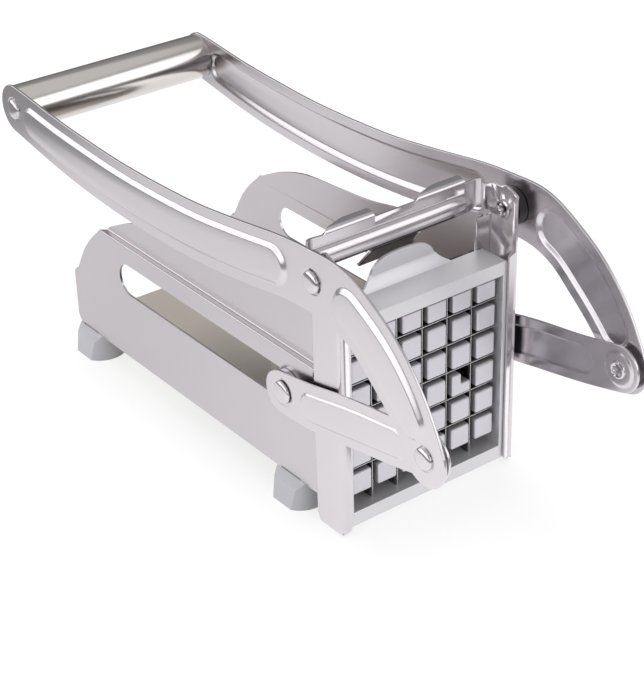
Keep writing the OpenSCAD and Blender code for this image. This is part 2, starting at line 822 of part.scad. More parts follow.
module carrier_rivets() {
    color(steel) placed() for (x = [-1, 1], z = [-1, 1])
        translate([x * boss_at[0], pusher_front + pusher_plate, grid_height + z * boss_at[1]]) rotate([-90, 0, 0]) {
            cylinder(h = pusher_rim + carrier_t + carrier_rivet_h / 2, r = carrier_rivet_r);
            translate([0, 0, pusher_rim + carrier_t]) cylinder(h = carrier_rivet_h, r = carrier_rivet_head);
        }
}

module axle() {
    color(steel) placed() {
        pin(-link_out - slide_gap, 2 * (link_out + slide_gap), axle_at, pin_d / 2);
        for (m = [0, 1]) mirror([m, 0, 0]) dome(link_out + slide_gap, axle_head_h, axle_at, axle_head_r);
    }
}

module slide_bush(left) {
    color(bush_white) sided(left) difference() {
        union() {
            pin(carrier_half, bush_out - carrier_half, axle_at, bush_r);
            pin(carrier_half, panel_in - slide_gap - carrier_half, axle_at, bush_collar_r);
        }
        pin(carrier_half - over, bush_out - carrier_half + 2 * over, axle_at, pin_d / 2);
    }
}

// Washer between the side panel and the link.
module slide_washer(left) {
    color(steel) sided(left) difference() {
        pin(bush_out, link_in - washer_gap - bush_out, axle_at, washer_r);
        pin(bush_out - over, link_in - bush_out + 2 * over, axle_at, pin_d / 2);
    }
}

// Links between the axle and the crank joints.

module link(left) {
    link_panel = stretch(link_path, link_panel_shares);
    color(steel) sided(left) difference() {
        union() {
            plate(link_in, lever_t) polygon(band(link_path, 0));
            raised_panel(link_panel, link_panel_margin, link_in, link_face);
        }
        raised_panel(link_panel, link_panel_margin + lever_t, link_in - over, link_face - lever_t);
        pin(link_in - over, lever_t + 2 * over, axle_at, pin_d / 2 + pin_gap);
        pin(link_in - over, lever_t + 2 * over, crank, pin_d / 2);
    }
}

module link_stud(left) {
    color(steel) sided(left) {
        pin(link_in - stud_proud, link_face - link_in + stud_proud, crank, pin_d / 2);
        pin(link_out, link_face - link_out, crank, shoulder_r);
    }
}

side_panel(true);  // side_panel_left
side_panel(false);  // side_panel_right
floor_tray();
upright(true);  // upright_left
upright(false);  // upright_right
cross_brace();
blade_cartridge();
vertical_blades();
horizontal_blades();
foot(true, foot_ys[0]);  // foot_front_left
foot(false, foot_ys[0]);  // foot_front_right
foot(true, foot_ys[1]);  // foot_rear_left
foot(false, foot_ys[1]);  // foot_rear_right
foot_rivets();
pivot_rivet(true);  // pivot_rivet_left
pivot_rivet(false);  // pivot_rivet_right
pivot_spacer(true);  // pivot_spacer_left
pivot_spacer(false);  // pivot_spacer_right
arm(true);  // arm_left
arm(false);  // arm_right
handle_tube();
handle_plugs();
handle_rod();
crank_rivet(true);  // crank_rivet_left
crank_rivet(false);  // crank_rivet_right
pusher_block();
pusher_carrier();
carrier_rivets();
axle();
slide_bush(true);  // slide_bush_left
slide_bush(false);  // slide_bush_right
slide_washer(true);  // slide_washer_left
slide_washer(false);  // slide_washer_right
link(true);  // link_left
link(false);  // link_right
link_stud(true);  // link_stud_left
link_stud(false);  // link_stud_right
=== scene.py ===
import json
import math

import bmesh
import bpy
from bpy.props import FloatProperty, FloatVectorProperty, PointerProperty
from mathutils import Matrix, Vector
from mathutils.geometry import delaunay_2d_cdt


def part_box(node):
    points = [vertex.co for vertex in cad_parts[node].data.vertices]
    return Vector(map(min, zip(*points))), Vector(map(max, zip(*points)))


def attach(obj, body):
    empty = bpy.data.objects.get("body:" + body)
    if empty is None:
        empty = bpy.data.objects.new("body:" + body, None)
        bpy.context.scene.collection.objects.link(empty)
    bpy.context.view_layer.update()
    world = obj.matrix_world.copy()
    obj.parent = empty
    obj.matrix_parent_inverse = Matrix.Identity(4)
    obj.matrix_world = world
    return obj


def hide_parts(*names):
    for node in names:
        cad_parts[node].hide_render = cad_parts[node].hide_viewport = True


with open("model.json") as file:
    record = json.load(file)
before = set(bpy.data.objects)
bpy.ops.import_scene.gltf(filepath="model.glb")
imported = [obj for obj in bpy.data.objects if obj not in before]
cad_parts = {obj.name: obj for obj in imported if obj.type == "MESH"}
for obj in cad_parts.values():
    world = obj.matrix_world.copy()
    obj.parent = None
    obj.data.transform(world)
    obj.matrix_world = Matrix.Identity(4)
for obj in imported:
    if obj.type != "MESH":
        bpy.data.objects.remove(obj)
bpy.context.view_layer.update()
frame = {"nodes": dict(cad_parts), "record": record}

bl_info = {
    "name": "Lever Potato Cutter",
    "version": (1, 0, 0),
    "blender": (4, 5, 0),
    "location": "View3D > Sidebar > Cutter",
    "description": "Stamped levers, bent body sheets, blades and pusher of a lever potato cutter",
    "category": "Object",
}

MM = 0.001
QUARTER = math.pi / 2
ORIGIN = (0.0, 0.0, 0.0)

# The blade edges stand in this plane, and every size below is in millimetres from it.
GRID_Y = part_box("vertical_blades")[0].y / MM


def reach(name):
    """Innermost and outermost X of a right-hand node, in millimetres."""
    low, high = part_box(name)
    return low.x / MM, high.x / MM


# Layers from the middle outwards.
ARM_IN, ARM_FACE = reach("arm_right")
LINK_IN, LINK_FACE = reach("link_right")
PANEL_OUT = reach("side_panel_right")[1]
WALL_OUT = reach("upright_right")[1]
LEVER_SHEET = 1.2
BODY_SHEET = 1.0
ARM_OUT = ARM_IN + LEVER_SHEET
LINK_OUT = LINK_IN + LEVER_SHEET

# Joints, seen from the side.
PIVOT = Vector((2.5, 111.5))
CRANK = Vector((-60.0, 67.5))
AXLE = Vector((28.0, 51.8))
HANDLE = Vector((219.5, 108.5))
PIN_R = 3.5
PIN_PLAY = 0.06

# Middle line of the lever: distance behind the pivot, height over it, half width.
ARM_STATIONS = (
    (217.0, -3.0, 11.0), (205.1, -4.5, 11.4), (183.4, -7.3, 11.9), (159.1, -9.4, 12.4),
    (129.5, -10.7, 12.6), (99.8, -10.4, 12.8), (72.3, -8.8, 12.8), (45.6, -5.6, 12.9),
    (18.4, -1.5, 12.7), (0.0, -0.4, 12.9), (-14.5, -1.1, 13.4), (-27.5, -6.4, 13.0),
    (-40.0, -15.2, 13.4), (-51.2, -26.0, 12.6), (-59.1, -36.7, 11.4), (-62.5, -44.0, 11.4),
)
# Middle line of the link: share of the way from axle to crank joint, distance below, half width.
LINK_STATIONS = ((-0.02, 0.6, 9.2), (0.2, 1.7, 10.1), (0.5, 1.1, 10.5), (0.78, 1.0, 10.1), (1.0, 0.0, 9.8))
CURVE_STEPS = 10
# Raised panels: shares of the middle line where they start and stop, and their distance from the edge.
ARM_PANELS = ((0.083, 0.517), (0.7, 0.9))
ARM_MARGIN = 4.0
LINK_PANEL = (0.25, 0.75)
LINK_MARGIN = 3.8
LINK_RUN = 0.62
# The arms' panels stand this much further out than the solids say.
ARM_RAISE = 0.8
# Share of a panel's height that its wall takes, the rounded share of the wall at each end, and its lines.
WALL_SHARE = 0.73
WALL_SOFT = 0.22
WALL_LINES = (0.0, 0.07, 0.14, 0.24, 0.4, 0.6, 0.76, 0.86, 0.93, 1.0)

# Top edge of the body sheet: distance behind the uprights, height.
HUMP = (
    (0, 107), (4.9, 106.5), (12.8, 104), (22.8, 99.1), (36.9, 93.5), (53.8, 90.3), (70.3, 87.1),
    (91.2, 85.2), (114.5, 83.2), (131.3, 78.6), (145.1, 72.4), (156.1, 66), (167.6, 54.7),
    (175.3, 42.3), (176.9, 39.3),
)
BODY_FRONT = 11.2
BODY_BACK = 191.0
BODY_LOW = 12.0
LEDGE = 68.0
LEDGE_STEP = 3.0
SLOT = (20.5, 143.6)
SLOT_R = 7.35
FOOT_YS = (29.0, 180.6)
FOOT_EDGE = 0.8 * MM

# Uprights and the sheet between them.
UPRIGHT_FRONT = -5.3
UPRIGHT_BACK = 11.2
UPRIGHT_LOW = 1.3
UPRIGHT_TOP = 120.5
BRACE_LOW = 107.0
BRACE_FRONT = 16.0
BRACE_BEND = 5.6
TABS = ((-34.2, -9.8), (9.8, 34.9))

# Cartridge, blades and pegs.
PITCH = 12.5
GRID_Z = 50.5
CELLS = 6
OPEN_HALF = 37.5
OPEN_LOW = 8.5
OPEN_TOP = 87.0
CART_HALF = 39.6
CART_FRONT = -4.0
CART_BACK = 9.9
CART_LOW = 2.3
CART_TOP = 93.0
TONGUE_T = 1.2
RIB_HALF = 42.9
BLADE_T = 0.8
BLADE_TIP = 0.2
BLADE_SEAT = 1.2
BLADE_DEPTH = 8.0
PEG = 9.375
PEG_FRONT = -1.8
PLATE_FRONT = 11.5
PLATE_BACK = 15.5
RIM_BACK = 20.0
RIM_WALL = 2.5
BLOCK_LOW = 14.5
BOSSES = (20.0, 22.0)

# Handle tube.
TUBE_R = 10.25
TUBE_WALL = 1.5
TUBE_EDGE = 0.5

# Edges of turned and cast pieces that stay sharp in the light.
TURNED_SHARP = math.radians(35)
CAST_SHARP = math.radians(40)

# Floor and lamp, in metres and watts.
FLOOR_R = 1.6
LAMP_PLACE = (0.35, 0.5, 1.6)
LAMP_TARGET = (0.0, 0.0, 0.05)
LAMP_SIZE = 1.3
LAMP_POWER = 14.0

# Camera: place in metres, azimuth, elevation and roll in degrees, focal length as a share of the sensor.
CAMERA_PLACE = (-0.39987, -0.55339, 0.42772)
CAMERA_ANGLES = (-36.62, 29.96, 1.57)
CAMERA_FOCAL = 1869.5 / 682
SENSOR = 36


def slot_colour(name):
    """Base colour of one of the record's material slots, as linear light."""
    for slot in frame["record"]["materials"]:
        if slot["slot"] == name:
            return tuple(((c + 0.055) / 1.055) ** 2.4 for c in slot["base_color"][:3])
    raise RuntimeError("no material slot named " + name)


def size_field(label, text, default):
    """Length in millimetres that a user can change."""
    return FloatProperty(name=label, description=text, default=default * MM, min=0.0, unit="LENGTH",
                         precision=5)


def share_field(label, text, default):
    """Share between 0 and 1 that a user can change."""
    return FloatProperty(name=label, description=text, default=default, min=0.0, max=1.0, subtype="FACTOR")


def colour_field(label, text, default):
    """Colour that a user can change."""
    return FloatVectorProperty(name=label, description="Colour of the " + text, default=default, size=3,
                               min=0.0, max=1.0, subtype="COLOR")


class CutterSizes(bpy.types.PropertyGroup):
    """Sizes that shape the visible pieces."""
    sheet_edge: size_field("Sheet edge", "Rounding of cut sheet edges", 0.32)
    cast_edge: size_field("Cast edge", "Rounding of the die-cast edges", 0.55)
    panel_run: size_field("Panel wall", "Width of the sloping wall round a raised panel", 2.1)
    peg_edge: size_field("Peg edge", "Rounding of the pegs", 0.9)
    blade_grind: size_field("Blade grind", "Depth of the ground edge of each blade", 1.6)
    ledge_bend: size_field("Ledge bend", "Bend radius of the step in the body sheets", 0.6)
    dish_run: size_field("Rivet dish", "Width of the shallow dish round a rivet", 0.8)


class CutterFinish(bpy.types.PropertyGroup):
    """Colours and roughness of the materials."""
    sheet_colour: colour_field("Sheet steel", "satin sheet steel", (0.62, 0.59, 0.615))
    inner_colour: colour_field("Inner steel", "steel inside the body", (0.68, 0.62, 0.56))
    handle_colour: colour_field("Handle steel", "polished handle", (0.7, 0.67, 0.65))
    # Painted shade: the body's sheet is the same steel as the levers, darkened to stand in for its dimmer
    # light.
    body_shaded_colour: colour_field("Body sheet", "sheet steel of the body", (0.55, 0.52, 0.545))
    cast_colour: colour_field("Casting", "die casting", (0.7, 0.69, 0.715))
    peg_colour: colour_field("Pusher casting", "pusher and its pegs", (0.65, 0.635, 0.68))
    blade_colour: colour_field("Blades", "ground blades", (0.6, 0.6, 0.61))
    # Painted shade: the spacers are near black to stand in for the shade round the pivots.
    spacer_shade_colour: colour_field("Spacers", "blackened spacers", (0.05, 0.045, 0.045))
    bush_colour: colour_field("Bushes", "moulded bushes", slot_colour("bush_plastic"))
    foot_colour: colour_field("Feet", "rubber feet", (0.5, 0.5, 0.53))
    floor_colour: colour_field("Floor", "floor", (0.8, 0.8, 0.8))
    sheet_rough: share_field("Sheet roughness", "Roughness of the satin sheet", 0.24)
    handle_rough: share_field("Handle roughness", "Roughness of the polished handle", 0.2)
    cast_rough: share_field("Cast roughness", "Roughness of the die casting", 0.4)


# Curves and outlines


def clamp(t):
    """The value, kept between 0 and 1."""
    return max(0.0, min(1.0, t))


def smooth_path(stations, steps):
    """Smooth curve through stations that may hold any number of values."""
    rows = [Vector(s) for s in stations]
    last = len(rows) - 1
    path = []
    for i in range(last):
        a, b, c, d = (rows[j] for j in (max(i - 1, 0), i, i + 1, min(i + 2, last)))
        for k in range(steps):
            t = k / steps
            path.append(0.5 * (2 * b + (c - a) * t + (2 * a - 5 * b + 4 * c - d) * t * t
                               + (3 * b - a - 3 * c + d) * t ** 3))
    path.append(rows[last])
    return path


def heading(path, i):
    """Direction of a path at one of its points."""
    step = path[min(i + 1, len(path) - 1)].to_2d() - path[max(i - 1, 0)].to_2d()
    return step.normalized()


def left_of(way):
    """The direction a quarter turn to the left."""
    return Vector((-way.y, way.x))


def band(path, grow, turns=14):
    """Outline of a band along a path with half widths, with round ends."""
    left, right = [], []
    for i, p in enumerate(path):
        n = left_of(heading(path, i))
        left.append(p.to_2d() + n * (p.z + grow))
        right.append(p.to_2d() - n * (p.z + grow))

    def cap(p, h, sign):
        n = left_of(h)
        angles = [math.pi * (k + 1) / (turns + 1) for k in range(turns)]
        return [p.to_2d() + sign * (n * math.cos(a) + h * math.sin(a)) * (p.z + grow) for a in angles]

    stop = cap(path[-1], heading(path, len(path) - 1), 1)
    start = cap(path[0], heading(path, 0), -1)
    return left + stop + right[::-1] + start


def stretch(path, low, high):
    """Part of a path between two shares of its length."""
    last = len(path) - 1
    return path[round(low * last):round(high * last) + 1]


def arc(centre, r, start, stop, count):
    """Points of an arc between two angles, with both ends."""
    angles = [start + (stop - start) * k / count for k in range(count + 1)]
    return [Vector((centre[0] + r * math.cos(a), centre[1] + r * math.sin(a))) for a in angles]


def ring(centre, r, turns=40):
    """Round outline."""
    return arc(centre, r, 0.0, 4 * QUARTER, turns)[:-1]


def rectangle(half, low, high, low_r=0.0, high_r=0.0):
    """Corners of an upright rectangle round the middle, with their radii."""
    return [(-half, low, low_r), (half, low, low_r), (half, high, high_r), (-half, high, high_r)]


def rounded(corners, turns=6):
    """Outline whose corners, given as x, y and a radius, become arcs."""
    outline = []
    count = len(corners)
    for i, corner in enumerate(corners):
        p = Vector(corner[:2])
        r = corner[2]
        u = (Vector(corners[i - 1][:2]) - p).normalized()
        v = (Vector(corners[(i + 1) % count][:2]) - p).normalized()
        if r == 0 or (u + v).length < 0.001:
            outline.append(p)
            continue
        half = math.acos(max(-1, min(1, u.dot(v)))) / 2
        middle = p + (u + v).normalized() * r / math.sin(half)
        start = p + u * r / math.tan(half) - middle
        stop = p + v * r / math.tan(half) - middle
        turn = start.angle_signed(stop)
        for k in range(turns + 1):
            outline.append(middle + Matrix.Rotation(-turn * k / turns, 2) @ start)
    return outline


def inside(p, outline):
    """Whether a point lies in an outline."""
    hit = False
    a = outline[-1]
    for b in outline:
        if (a[1] > p[1]) != (b[1] > p[1]):
            if p[0] < (b[0] - a[0]) * (p[1] - a[1]) / (b[1] - a[1]) + a[0]:
                hit = not hit
        a = b
    return hit


def ease(t):
    """Soft step from 0 to 1."""
    t = clamp(t)
    return t * t * (3 - 2 * t)


def slope(t, soft):
    """Straight slope from 0 to 1 with a rounded foot and top; soft is the share of each."""
    t = clamp(t)
    if t > 0.5:
        return 1 - slope(1 - t, soft)
    if t < soft:
        return t * t / (2 * soft * (1 - soft))
    return (t - soft / 2) / (1 - soft)


# Sheets and solids


def blank(outline, holes=(), lines=(), cuts=((), ())):
    """Flat blank as a bmesh: an outline with holes, extra closed lines, and straight cuts across it."""
    points, edges = [], []
    for loop in (outline, *holes, *lines):
        first = len(points)
        points += [Vector(p[:2]) for p in loop]
        edges += [(first + i, first + (i + 1) % len(loop)) for i in range(len(loop))]
    verts, _, faces = delaunay_2d_cdt(points, edges, [], 0, 1e-4, False)[:3]
    bm = bmesh.new()
    made = [bm.verts.new((v.x, v.y, 0)) for v in verts]
    for face in faces:
        middle = sum((verts[i] for i in face), Vector((0, 0))) / len(face)
        if inside(middle, outline) and not any(inside(middle, h) for h in holes):
            bm.faces.new([made[i] for i in face])
    loose = [v for v in bm.verts if not v.link_faces]
    bmesh.ops.delete(bm, geom=loose, context="VERTS")
    for normal, places in zip(((1, 0, 0), (0, 1, 0)), cuts):
        for place in places:
            bmesh.ops.bisect_plane(bm, geom=bm.verts[:] + bm.edges[:] + bm.faces[:], dist=1e-4,
                                   plane_co=Vector(normal) * place, plane_no=normal)
    return bm


def closed(flat, sides):
    """Closed mesh from a blank: sides gives the outer and the inner point for each point of the blank."""
    bm = bmesh.new()
    outer, inner = {}, {}
    for v in flat.verts:
        outer[v], inner[v] = (bm.verts.new(p) for p in sides(v.co.x, v.co.y))
    for f in flat.faces:
        bm.faces.new([outer[v] for v in f.verts])
        bm.faces.new([inner[v] for v in reversed(f.verts)])
    for e in flat.edges:
        if len(e.link_faces) == 1:
            a, b = e.verts
            bm.faces.new([outer[a], outer[b], inner[b], inner[a]])
    flat.free()
    bmesh.ops.recalc_face_normals(bm, faces=bm.faces[:])
    return bm


def bent(flat, place, thickness):
    """Closed sheet from a blank: place gives the outer point and its normal for each point of the blank."""
    def sides(u, v):
        p, n = place(u, v)
        return p, p - n * thickness

    return closed(flat, sides)


def solid(flat, place, low, high):
    """Closed block from a blank between two levels: place turns u, v and the level into a point."""
    return closed(flat, lambda u, v: (place(u, v, high), place(u, v, low)))


def prism(outline, low, high, holes=()):
    """Closed block from an outline in X and Z between two levels along Y."""
    return solid(blank(outline, holes), lambda u, v, level: Vector((u, level, v)), low, high)


def chain(start, direction, parts):
    """Place along a bent strip in a plane: parts are ("go", length) or ("turn", radius, angle).

    The answer is a function of the length along the strip that gives the point and the left-hand normal,
    the length of the strip, and the spans of its bends.
    """
    legs = []
    p = Vector(start)
    d = Vector(direction).normalized()
    along = 0.0
    for kind, size, *angle in parts:
        if kind == "go":
            legs.append((along, along + size, p.copy(), d.copy(), None, 0.0))
            p = p + d * size
            along += size
        else:
            sign = 1 if angle[0] > 0 else -1
            centre = p + left_of(d) * size * sign
            length = size * abs(angle[0])
            legs.append((along, along + length, p.copy(), d.copy(), centre, sign))
            turned = Matrix.Rotation(angle[0], 2)
            p = centre + turned @ (p - centre)
            d = turned @ d
            along += length

    def at(s):
        for low, high, q, e, centre, sign in legs:
            if s <= high or high == along:
                break
        if centre is None:
            return q + e * (s - low), left_of(e)
        turned = Matrix.Rotation(sign * (s - low) / (q - centre).length, 2)
        return centre + turned @ (q - centre), left_of(turned @ e)

    return at, along, [(low, high) for low, high, _, _, centre, _ in legs if centre is not None]


def bend_cuts(spans, count=5):
    """Cut places that let a blank bend smoothly over each span."""
    return [low + (high - low) * k / count for low, high in spans for k in range(count + 1)]


def lathe(profile, turns=72, lobes=5):
    """Closed solid of revolution round the X axis from points of x, radius and the depth of any lobes."""
    bm = bmesh.new()
    rings = []
    for x, r, *wave in profile:
        if r < 1e-6:
            rings.append([bm.verts.new((x, 0, 0))])
            continue
        row = []
        for k in range(turns):
            a = 2 * math.pi * k / turns
            far = r + (wave[0] * math.cos(lobes * a) if wave else 0.0)
            row.append(bm.verts.new((x, far * math.cos(a), far * math.sin(a))))
        rings.append(row)
    for a, b in zip(rings, rings[1:]):
        for k in range(turns):
            n = (k + 1) % turns
            if len(a) == 1:
                bm.faces.new([a[0], b[k], b[n]])
            elif len(b) == 1:
                bm.faces.new([a[k], b[0], a[n]])
            else:
                bm.faces.new([a[k], b[k], b[n], a[n]])
    bmesh.ops.recalc_face_normals(bm, faces=bm.faces[:])
    return bm


def domed(x, r, h, count=14):
    """Points of a rivet head of radius r and height h on the level x: full at its rim, flatter on top."""
    angles = [QUARTER * k / count for k in range(count)]
    return [(x + h * math.sin(a) ** 0.85, r * math.cos(a) ** 0.8) for a in angles] + [(x + h, 0.0)]


def block(low, high):
    """Closed box between two corners."""
    bm = bmesh.new()
    bmesh.ops.create_cube(bm, size=1)
    for v in bm.verts:
        v.co = Vector([low[i] + (high[i] - low[i]) * (v.co[i] + 0.5) for i in range(3)])
    return bm


def from_mesh(piece):
    """Bmesh of an object."""
    bm = bmesh.new()
    bm.from_mesh(piece.data)
    return bm


def joined(*parts):
    """One bmesh from several."""
    whole = bmesh.new()
    for part in parts:
        mesh = bpy.data.meshes.new("part")
        part.to_mesh(mesh)
        part.free()
        whole.from_mesh(mesh)
        bpy.data.meshes.remove(mesh)
    return whole


def linked(name, data):
    """New object in the scene."""
    piece = bpy.data.objects.new(name, data)
    bpy.context.scene.collection.objects.link(piece)
    return piece


def smooth_object(name, bm, finish):
    """Smooth object from a bmesh in metres."""
    mesh = bpy.data.meshes.new(name)
    bm.to_mesh(mesh)
    bm.free()
    for polygon in mesh.polygons:
        polygon.use_smooth = True
    mesh.materials.append(finish)
    return linked(name, mesh)


def new_object(name, bm, finish, y=GRID_Y):
    """Object from a bmesh in millimetres in the blade frame; with y at 0 a tree places it later."""
    bm.transform(Matrix.Scale(MM, 4) @ Matrix.Translation((0, y, 0)))
    return smooth_object(name, bm, finish)


def settled(piece):
    """Turns a piece and its live modifiers into one plain mesh."""
    depsgraph = bpy.context.evaluated_depsgraph_get()
    mesh = bpy.data.meshes.new_from_object(piece.evaluated_get(depsgraph), preserve_all_data_layers=True,
                                           depsgraph=depsgraph)
    piece.modifiers.clear()
    piece.data = mesh
    mesh.name = piece.name
    return piece


def softened(piece, edge, segments=3, angle=50):
    """Rounds the hard edges of a piece and keeps its flat faces flat in the light."""
    bevel = piece.modifiers.new("edges", "BEVEL")
    bevel.width = edge
    bevel.segments = segments
    bevel.limit_method = "ANGLE"
    bevel.angle_limit = math.radians(angle)
    bevel.miter_outer = "MITER_ARC"
    weighted = piece.modifiers.new("light", "WEIGHTED_NORMAL")
    weighted.weight = 60
    weighted.keep_sharp = True
    return settled(piece)


def fitted(piece, body, slot, *nodes):
    """Lets a finished piece ride on its body in place of its CAD nodes."""
    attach(piece, body)
    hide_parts(*nodes)


def both_sides(make, name, cad, body, finish, edge, segments=3):
    """Right-hand sheet and its mirror image on the left."""
    for side in ("right", "left"):
        bm = make()
        if side == "left":
            bm.transform(Matrix.Scale(-1, 4, (1, 0, 0)))
            bmesh.ops.reverse_faces(bm, faces=bm.faces[:])
        piece = softened(new_object(f"{name}_{side}", bm, finish), edge, segments)
        fitted(piece, body, "steel", f"{cad}_{side}")


# Raised panels and dishes in pressed sheet


def raised(path, margin, rise, left_run, right_run, dome=7.0):
    """Raised panel along a path, its face slightly domed.

    The answer is the lines that shape it, and a function that gives its height over the sheet.
    """
    core = [Vector((p.x, p.y, p.z - margin)) for p in path]
    ways = [heading(path, i) for i in range(len(path))]
    lines = []
    for run in sorted({left_run, right_run}):
        lines += [band(core, -run * share) for share in WALL_LINES]
    lines += [band(core, -max(left_run, right_run) - step) for step in (0.9, 2.0, 3.4)]

    def height(p):
        i = max(range(len(core)), key=lambda k: core[k].z - (p - core[k].to_2d()).length)
        off = p - core[i].to_2d()
        depth = core[i].z - off.length
        side = left_of(ways[i]).dot(off)
        run = right_run + (left_run - right_run) * (0.5 + 0.5 * side / max(off.length, 1e-6))
        inner = 1 - clamp((depth - run * 0.4) / dome)
        return rise * (WALL_SHARE * slope(depth / run, WALL_SOFT) + (1 - WALL_SHARE) * (1 - inner * inner))

    return lines, height


def dished(centre, r, drop, run):
    """Shallow dish round a rivet."""
    lines = [ring(centre, r + run * share, 48) for share in (0.0, 0.25, 0.5, 0.75, 1.0)]

    def height(p):
        return -drop * ease(1 - ((p - centre).length - r) / run)

    return lines, height


def stamped(outline, holes, shapes, x_out, thickness):
    """Pressed plate across X on the right-hand side."""
    lines = [line for shape in shapes for line in shape[0]]

    def place(y, z):
        lift = sum(height(Vector((y, z))) for _, height in shapes)
        return Vector((x_out + lift, y, z)), Vector((1, 0, 0))

    return bent(blank(outline, holes, lines), place, thickness)


# Materials


def feed(tree, target, inputs):
    """Sets inputs of a node: each one is a value or a socket to link."""
    for key, value in inputs.items():
        if isinstance(value, bpy.types.NodeSocket):
            tree.links.new(value, target.inputs[key])
        else:
            target.inputs[key].default_value = value


def node(tree, kind, inputs=None, **settings):
    """Node with its settings and inputs."""
    made = tree.nodes.new(kind)
    for key, value in settings.items():
        setattr(made, key, value)
    feed(tree, made, inputs or {})
    return made


def reckoned(tree, operation, a, b):
    """Result of a sum on two values or sockets."""
    return node(tree, "ShaderNodeMath", {0: a, 1: b}, operation=operation).outputs[0]


def measured(tree, operation, a, b=ORIGIN):
    """Number that a sum on two vectors gives."""
    return node(tree, "ShaderNodeVectorMath", {0: a, 1: b}, operation=operation).outputs["Value"]


def ranged(tree, value, start, stop, low=0.0, high=1.0, blend="LINEAR"):
    """Value between low and high, by the place of another value between start and stop."""
    return node(tree, "ShaderNodeMapRange", {
        "Value": value, "From Min": start, "From Max": stop, "To Min": low, "To Max": high,
    }, interpolation_type=blend).outputs[0]


def mixed(tree, share, a, b):
    """Colour between a and b, by a socket."""
    return node(tree, "ShaderNodeMix", {0: share, 6: a, 7: b}, data_type="RGBA").outputs[2]


SOCKETS = {float: "NodeSocketFloat", int: "NodeSocketInt", tuple: "NodeSocketVector"}


def new_group(name, kind, inputs, outputs):
    """Empty node group: inputs have a default value or the name of a socket type, outputs the latter."""
    tree = bpy.data.node_groups.new(name, kind)
    for label, value in inputs.items():
        socket = SOCKETS.get(type(value), value)
        made = tree.interface.new_socket(label, in_out="INPUT", socket_type=socket)
        if socket != value:
            made.default_value = value
    for label, socket in outputs.items():
        tree.interface.new_socket(label, in_out="OUTPUT", socket_type=socket)
    return tree, tree.nodes.new("NodeGroupInput"), tree.nodes.new("NodeGroupOutput")


def grain_group():
    """Fine brushed or cast grain: a mask and a height."""
    tree, enter, leave = new_group(
        "metal_grain", "ShaderNodeTree", {"Vector": ORIGIN, "Scale": 900.0, "Stretch": (1.0, 1.0, 1.0)},
        {"Mask": "NodeSocketFloat", "Height": "NodeSocketFloat"})
    spread = node(tree, "ShaderNodeVectorMath", {0: enter.outputs["Vector"], 1: enter.outputs["Stretch"]},
                  operation="MULTIPLY").outputs[0]
    fine = node(tree, "ShaderNodeTexNoise", {
        "Vector": spread, "Scale": enter.outputs["Scale"], "Detail": 3.0, "Roughness": 0.6,
    }).outputs["Fac"]
    feed(tree, leave, {"Mask": ranged(tree, fine, 0.3, 0.7), "Height": fine})
    return tree


def wear_and_edge_highlight_group():
    """Wide soft marks from handling, and a part's edges, brightened as rubbed wear and painted highlight."""
    tree, enter, leave = new_group(
        "handling_wear_and_edge_highlight", "ShaderNodeTree", {"Vector": ORIGIN, "Scale": 25.0, "Edge": 0.0004},
        {"Marks": "NodeSocketFloat", "Edges": "NodeSocketFloat"})
    wide = node(tree, "ShaderNodeTexNoise", {
        "Vector": enter.outputs["Vector"], "Scale": enter.outputs["Scale"], "Detail": 4.0, "Roughness": 0.55,
        "Distortion": 0.6,
    }).outputs["Fac"]
    edge_normal = node(tree, "ShaderNodeBevel", {"Radius": enter.outputs["Edge"]}, samples=4).outputs[0]
    normal = node(tree, "ShaderNodeNewGeometry").outputs["Normal"]
    match = measured(tree, "DOT_PRODUCT", edge_normal, normal)
    feed(tree, leave, {"Marks": ranged(tree, wide, 0.35, 0.65), "Edges": ranged(tree, match, 0.995, 0.85)})
    return tree


def shade(colour, factor):
    """Colour made lighter or darker, with its alpha."""
    return tuple(min(1.0, c * factor) for c in colour) + (1.0,)


def painted_shade_along(tree, colour, place, axis, low, high, level):
    """Painted shade: colour that falls to a share of itself between two places along one axis of the part, in
    mm.
    """
    along = node(tree, "ShaderNodeSeparateXYZ", {0: place}).outputs[axis]
    start = GRID_Y if axis == 1 else 0.0
    share = ranged(tree, along, (start + low) * MM, (start + high) * MM, 1.0, level)
    return node(tree, "ShaderNodeVectorMath", {0: colour, "Scale": share}, operation="SCALE").outputs[0]


def surface(groups, name, colour, rough, metal, stretch_by, grain, bump, spread=0.06, tone=0.04, edge=0.1,
            painted_shade_spans=()):
    """Material with grain, handling marks, rubbed and painted-highlight edges, and any painted shade."""
    made = bpy.data.materials.new(name)
    made.use_nodes = True
    tree = made.node_tree
    place = node(tree, "ShaderNodeTexCoord").outputs["Object"]
    fine = node(tree, "ShaderNodeGroup", {"Vector": place, "Scale": grain, "Stretch": stretch_by},
                node_tree=groups[0])
    wear_and_highlight = node(tree, "ShaderNodeGroup", {"Vector": place}, node_tree=groups[1])
    base = mixed(tree, wear_and_highlight.outputs["Marks"], shade(colour, 1 - tone), shade(colour, 1 + tone))
    base = mixed(tree, fine.outputs["Mask"], base, shade(colour, 1.0))
    # Painted highlight, with rubbed wear: the part's edges are made lighter.
    base = mixed(tree, wear_and_highlight.outputs["Edges"], base, shade(colour, 1 + edge))
    # Painted shade: each span darkens the colour along one axis of the part.
    for span in painted_shade_spans:
        base = painted_shade_along(tree, base, place, *span)
    level = reckoned(tree, "ADD", fine.outputs["Mask"], wear_and_highlight.outputs["Marks"])
    relief = node(tree, "ShaderNodeBump", {"Height": fine.outputs["Height"], "Strength": bump,
                                           "Distance": 0.00005})
    feed(tree, tree.nodes["Principled BSDF"], {
        "Base Color": base, "Metallic": metal, "Normal": relief.outputs[0],
        "Roughness": ranged(tree, level, 0.0, 2.0, rough - spread, rough + spread),
    })
    return made


